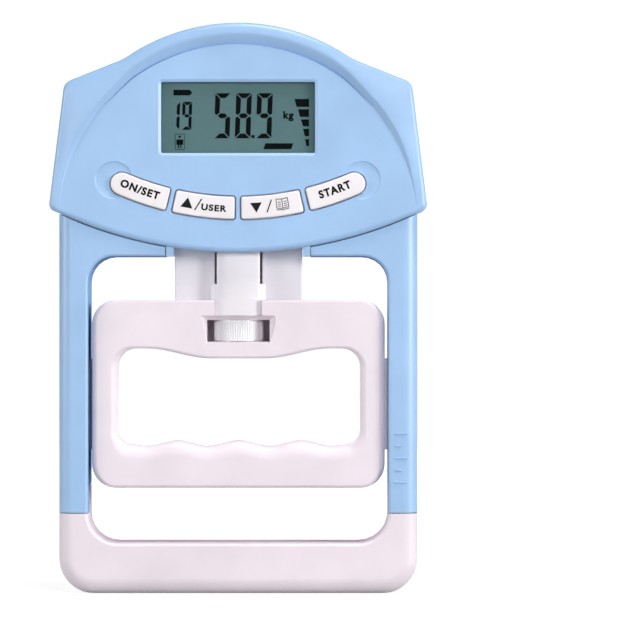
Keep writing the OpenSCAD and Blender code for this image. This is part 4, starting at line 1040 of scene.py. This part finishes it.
def frame_tools():
    """The opening, what lies under the head's lip, the gap for the neck and the guides' slots."""
    under_lip = arc(lip, LIP_R + LIP_GAP, 240, 300, 60) + [(HIGH, HIGH), (-HIGH, HIGH)]
    return [loft("opening_cut", [at_depth(opening, MM)]
                 + soft_edge(opening, FRAME_Y, inner_width, inner_width, True)),
            loft("lip_cut", [at_depth(under_lip, y) for y in (AHEAD, BEHIND)]),
            block((-NECK_GAP, AHEAD, opening_top - 8 * MM), (NECK_GAP, -4 * MM, HIGH)),
            block((-NECK_GAP_BACK, AHEAD, opening_top - 8 * MM), (NECK_GAP_BACK, BEHIND, HIGH)),
            arm_slot(-1), arm_slot(1)]


# %% The front of the frame in one loft
whole = loft("frame_front", [
    at_depth(inset(frame_outline, 0.3 * MM), 0), at_depth(frame_outline, -0.3 * MM),
    *soft_edge(frame_outline, FRAME_Y, outer_width, outer_drop, steps=8)])
boolean(whole, frame_tools())
print("frame front", [round(v / MM, 1) for v in whole.dimensions])


# %% Cut apart along the seams
def section(name, low, high):
    """A copy of what lies between two corners."""
    only(whole)
    bpy.ops.object.duplicate()
    piece = bpy.context.object
    piece.name = piece.data.name = name
    return boolean(piece, [block(low, high)], "INTERSECT")


FAR = 0.3
seam_z = arm_low.z
right_arm = section("right_arm_front", (0, -FAR, seam_z), (FAR, FAR, FAR))
left_arm = section("left_arm_front", (-FAR, -FAR, seam_z), (0, FAR, FAR))
palm = section("palm_bar_front_half", (-FAR, -FAR, -FAR), (FAR, FAR, palm_high.z))
bpy.data.objects.remove(whole)

# %% Scale marks on the right arm
SCALE_Z0, SCALE_PITCH, MARK_H = 38.0, 4.13, 0.28
scale = []
for i in range(5):
    middle = SCALE_Z0 + SCALE_PITCH * i
    end = opening_x + (6.4 if i % 2 == 0 else 4.5) * MM
    bar = rounded_box(opening_x + 2 * MM, end, (middle - MARK_H) * MM, (middle + MARK_H) * MM, 0.2 * MM, 3)
    scale.append(loft("scale_mark", [
        at_depth(inset(bar, 0.02 * MM), FRAME_Y + 0.3 * MM), at_depth(bar, FRAME_Y - 0.1 * MM),
        at_depth(inset(bar, 0.12 * MM), arm_low.y)]))
finished(joined(right_arm, *scale), "frame", blue, ["right_arm_cover"], angle=26)
finished(left_arm, "frame", blue, ["left_arm_cover"], angle=26)
finished(palm, "frame", pinkish, ["palm_bar_front"], angle=26)

# %% [markdown]
# ## The back
# The rear housing, the rear half of the palm bar and the battery door are plain mouldings. Their
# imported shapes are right, but a real moulding has no razor edges, so a copy of each mesh is cleaned
# and gets a small bevel on every sharp edge. The head's rear edge is rounder than a bevel could make
# it, so there the copy is first kept inside a rounded envelope. The door also gets three grooves.

# %% Copies with soft edges
def softened(node, body, material, width, cuts=(), operation="DIFFERENCE"):
    """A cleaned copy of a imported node's mesh, cut and then bevelled by width."""
    source = frame["nodes"][node]
    piece = bpy.data.objects.new(node + "_soft", source.data.copy())
    bpy.context.collection.objects.link(piece)
    only(piece)
    if piece.data.has_custom_normals:
        bpy.ops.mesh.customdata_custom_splitnormals_clear()
    bpy.ops.object.mode_set(mode="EDIT")
    bpy.ops.mesh.select_all(action="SELECT")
    bpy.ops.mesh.remove_doubles(threshold=0.005 * MM)
    bpy.ops.mesh.dissolve_limited(angle_limit=math.radians(0.5))
    bpy.ops.object.mode_set(mode="OBJECT")
    if cuts:
        boolean(piece, cuts, operation)
    bevel = piece.modifiers.new("soft", "BEVEL")
    bevel.width, bevel.segments, bevel.limit_method = width, 2, "ANGLE"
    bevel.angle_limit, bevel.harden_normals = math.radians(32), False
    bpy.ops.object.modifier_apply(modifier=bevel.name)
    return finished(piece, body, material, [node])


# %% The head's rounded rear edge, and the rear half of the palm bar
rear_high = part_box("rear_housing")[1]
REAR_ROUND, STEP_Y = 1.8 * MM, 12.6 * MM


def rear_round(x, z, out_x, out_z):
    return REAR_ROUND


wide = inset(silhouette, -0.05 * MM)
envelope = block((-70 * MM, -3 * MM, -10 * MM), (70 * MM, STEP_Y, 200 * MM))
boolean(envelope, [loft("rear_round", turned(
    [at_depth(wide, -6 * MM), *soft_edge(wide, -rear_high.y, rear_round, rear_round)], 1))], "UNION")
housing = softened("rear_housing", "frame", blue, 0.3 * MM, [envelope], "INTERSECT")
palm_rear = softened("palm_bar_rear", "frame", pinkish, 0.35 * MM)

# %% Battery door with three grooves for the thumb
door_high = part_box("battery_door")[1]
THUMB_X, THUMB_DEPTH, THUMB_H = 7 * MM, 0.4 * MM, 0.8 * MM
grooves = []
for down in (10.2, 11.9, 13.6):
    low_z = door_high.z - down * MM
    grooves.append(block((-THUMB_X, door_high.y - THUMB_DEPTH, low_z),
                         (THUMB_X, door_high.y + MM, low_z + THUMB_H)))
softened("battery_door", "door", blue, 0.15 * MM, grooves)

# %% [markdown]
# ### Walls inside the opening
# The outside is slightly glossy, but the walls of the opening are matt, and their colour is darker
# than the front's: painted shade for the shade that falls inside the narrow opening. They belong to
# the same pieces, so the faces that look across the opening get a second, matt material with painted shade.

# %% Matt walls with painted shade
# Both wall colours are darker copies of the blue and the pinkish white: painted shade.
painted_shade_blue = finish("painted_shade_blue_wall", srgb(138, 176, 218), (0.85, 0.95), specular_ior_level=0)
painted_shade_pink = finish("painted_shade_pink_wall", srgb(222, 210, 219), (0.85, 0.95), specular_ior_level=0)
REACH = 0.05 * MM


def is_wall(face):
    """Whether a face looks across the opening and lies at its edge."""
    return (abs(face.normal.y) < 0.2 and abs(face.center.x) < opening_x + REACH
            and PALM_H - REACH < face.center.z < opening_top + REACH)


def paint_shade_on_walls(piece, material):
    """Gives the walls' faces of a piece a second material, matt and darker with painted shade."""
    piece.data.materials.append(material)
    walls = [face for face in piece.data.polygons if is_wall(face)]
    for face in walls:
        face.material_index = 1
    print(piece.name, len(walls), "wall faces")


for piece in (right_arm, left_arm, housing):
    paint_shade_on_walls(piece, painted_shade_blue)
for piece in (palm, palm_rear):
    paint_shade_on_walls(piece, painted_shade_pink)

# %% [markdown]
# ### Guide pad
# Between the grip and the right arm a flat mauve pad fills the gap, and a shoe on it runs in the
# arm's slot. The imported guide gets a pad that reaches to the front, as far as it can be seen. The
# left guide stays out of sight in the shadow of its gap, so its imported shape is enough.

# %% A pad on the right guide
guide_low, guide_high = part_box("right_guide")
PAD_Y, PAD_LAP, PAD_GAP, PAD_INSET = 8.6 * MM, 1.6 * MM, 0.15 * MM, 2 * MM
pad = block((GRIP_X - PAD_LAP, -PAD_Y, guide_low.z + PAD_INSET),
            (opening_x - PAD_GAP, PAD_Y, guide_high.z - PAD_INSET))
softened("right_guide", "grip", mauve, 0.2 * MM, [pad], "UNION")

# %% [markdown]
# ## Studio
# The picture is taken straight from the front with a long lens, on a pale paper sweep. The paper
# glows for the camera and for reflections, so the surroundings look white, but its own colour is
# grey and it throws little light back. The shadow that the object casts stays on it. Close to the
# object the glow is weaker, so that white edges don't melt into the ground.

# %% Sweep
bpy.ops.object.select_all(action="DESELECT")
bpy.ops.mesh.primitive_plane_add(size=6, location=(0, 0, 0))
sweep = bpy.context.object
sweep.name = sweep.data.name = "sweep"
bpy.ops.object.mode_set(mode="EDIT")
edit = bmesh.from_edit_mesh(sweep.data)
for edge in edit.edges:
    edge.select = all(v.co.y > 2.9 for v in edge.verts)
bpy.ops.mesh.select_mode(type="EDGE")
for step in range(9):
    turn = math.radians(10 * step + 5)
    bpy.ops.mesh.extrude_edges_move(TRANSFORM_OT_translate={
        "value": (0, 0.16 * math.cos(turn), 0.16 * math.sin(turn))})
bpy.ops.mesh.extrude_edges_move(TRANSFORM_OT_translate={"value": (0, 0, 3)})
bpy.ops.object.mode_set(mode="OBJECT")
bpy.ops.object.shade_smooth()
print("sweep", [round(v, 2) for v in sweep.dimensions], "m")


# %% Paper that glows for the camera
def calculated(tree, operation, first, second):
    """A Math node on two (node, output) pairs."""
    node = tree.nodes.new("ShaderNodeMath")
    node.operation = operation
    link(tree, *first, node, 0)
    link(tree, *second, node, 1)
    return node


paper = bpy.data.materials.new("white_paper")
paper.use_nodes = True
tree = paper.node_tree
surface = tree.nodes["Principled BSDF"]
surface.inputs["Base Color"].default_value = (0.3, 0.3, 0.3, 1)
surface.inputs["Roughness"].default_value = 0.9
surface.inputs["Emission Color"].default_value = (1, 1, 1, 1)
rays = tree.nodes.new("ShaderNodeLightPath")
seen = calculated(tree, "MAXIMUM", (rays, "Is Camera Ray"), (rays, "Is Glossy Ray"))
also = calculated(tree, "MAXIMUM", (seen, "Value"), (rays, "Is Transmission Ray"))
place = tree.nodes.new("ShaderNodeTexCoord")
distance = tree.nodes.new("ShaderNodeVectorMath")
distance.operation = "LENGTH"
link(tree, place, "Object", distance, 0)
away = tree.nodes.new("ShaderNodeMapRange")
for name, value in (("From Min", 0.1), ("From Max", 0.8), ("To Min", 0.81), ("To Max", 1.0)):
    away.inputs[name].default_value = value
link(tree, distance, "Value", away, "Value")
glow = calculated(tree, "MULTIPLY", (also, "Value"), (away, "Result"))
link(tree, glow, "Value", surface, "Emission Strength")
sweep.data.materials.append(paper)
print("paper glows from", away.inputs["To Min"].default_value, "to", away.inputs["To Max"].default_value)

# %% [markdown]
# ### Light
# The room itself is nearly dark, and soft square lamps do the work. A key and a fill lamp light the
# front evenly. Stronger ones stand overhead and to the right, and give the rims and bevels their
# highlights and shades. Two lamps behind light the back. They are left out of reflections, because
# the smooth top of the head would mirror them as a white patch.

# %% Room
world = bpy.data.worlds.new("soft_room")
bpy.context.scene.world = world
world.use_nodes = True
tree = world.node_tree
room = tree.nodes["Background"]
room.inputs["Strength"].default_value = 0.14
white = tree.nodes.new("ShaderNodeBackground")
for background in (room, white):
    background.inputs["Color"].default_value = (1, 1, 1, 1)
rays = tree.nodes.new("ShaderNodeLightPath")
seen = calculated(tree, "MAXIMUM", (rays, "Is Camera Ray"), (rays, "Is Transmission Ray"))
either = tree.nodes.new("ShaderNodeMixShader")
link(tree, seen, "Value", either, 0)
link(tree, room, "Background", either, 1)
link(tree, white, "Background", either, 2)
link(tree, either, "Shader", tree.nodes["World Output"], "Surface")
print("room at", round(room.inputs["Strength"].default_value, 2))

# %% Lamps
TARGET = Vector((0, 0, 0.1))


def lamp(name, place, size, power, shine=True):
    """A square lamp that looks at the object's middle. Without shine, nothing reflects it."""
    light = bpy.data.lights.new(name, "AREA")
    light.shape, light.size, light.energy = "SQUARE", size, power
    holder = bpy.data.objects.new(name, light)
    bpy.context.collection.objects.link(holder)
    holder.location, holder.visible_glossy = place, shine
    holder.rotation_euler = (TARGET - Vector(place)).to_track_quat("-Z", "Y").to_euler()


lamp("key_light", (0.45, -1.4, 0.6), 0.4, 3.5)
lamp("top_light", (0.2, -0.38, 1.35), 0.4, 8.8)
lamp("fill_light", (-0.6, -1.45, 0.3), 0.5, 3.1)
lamp("right_light", (1.3, -0.7, 0.35), 0.35, 14)
lamp("back_light", (-0.6, 1.4, 0.6), 0.4, 10, shine=False)
lamp("back_fill", (0.7, 1.5, 0.2), 0.5, 8, shine=False)
lamp("left_light", (-1.35, -0.5, 0.35), 0.35, 7)
print("lamps:", ", ".join(light.name for light in bpy.data.lights))

# %% Camera
view = bpy.data.cameras.new("camera")
view.lens = 222.7
camera = bpy.data.objects.new("camera", view)
bpy.context.collection.objects.link(camera)
camera.location = (0.0279, -1.36, 0.0933)
camera.rotation_euler = (math.radians(90), 0, 0)
bpy.context.scene.camera = camera
bpy.context.scene.view_settings.view_transform = "Standard"
print("camera", round(-camera.location.y, 2), "m in front, lens", round(view.lens, 1), "mm")
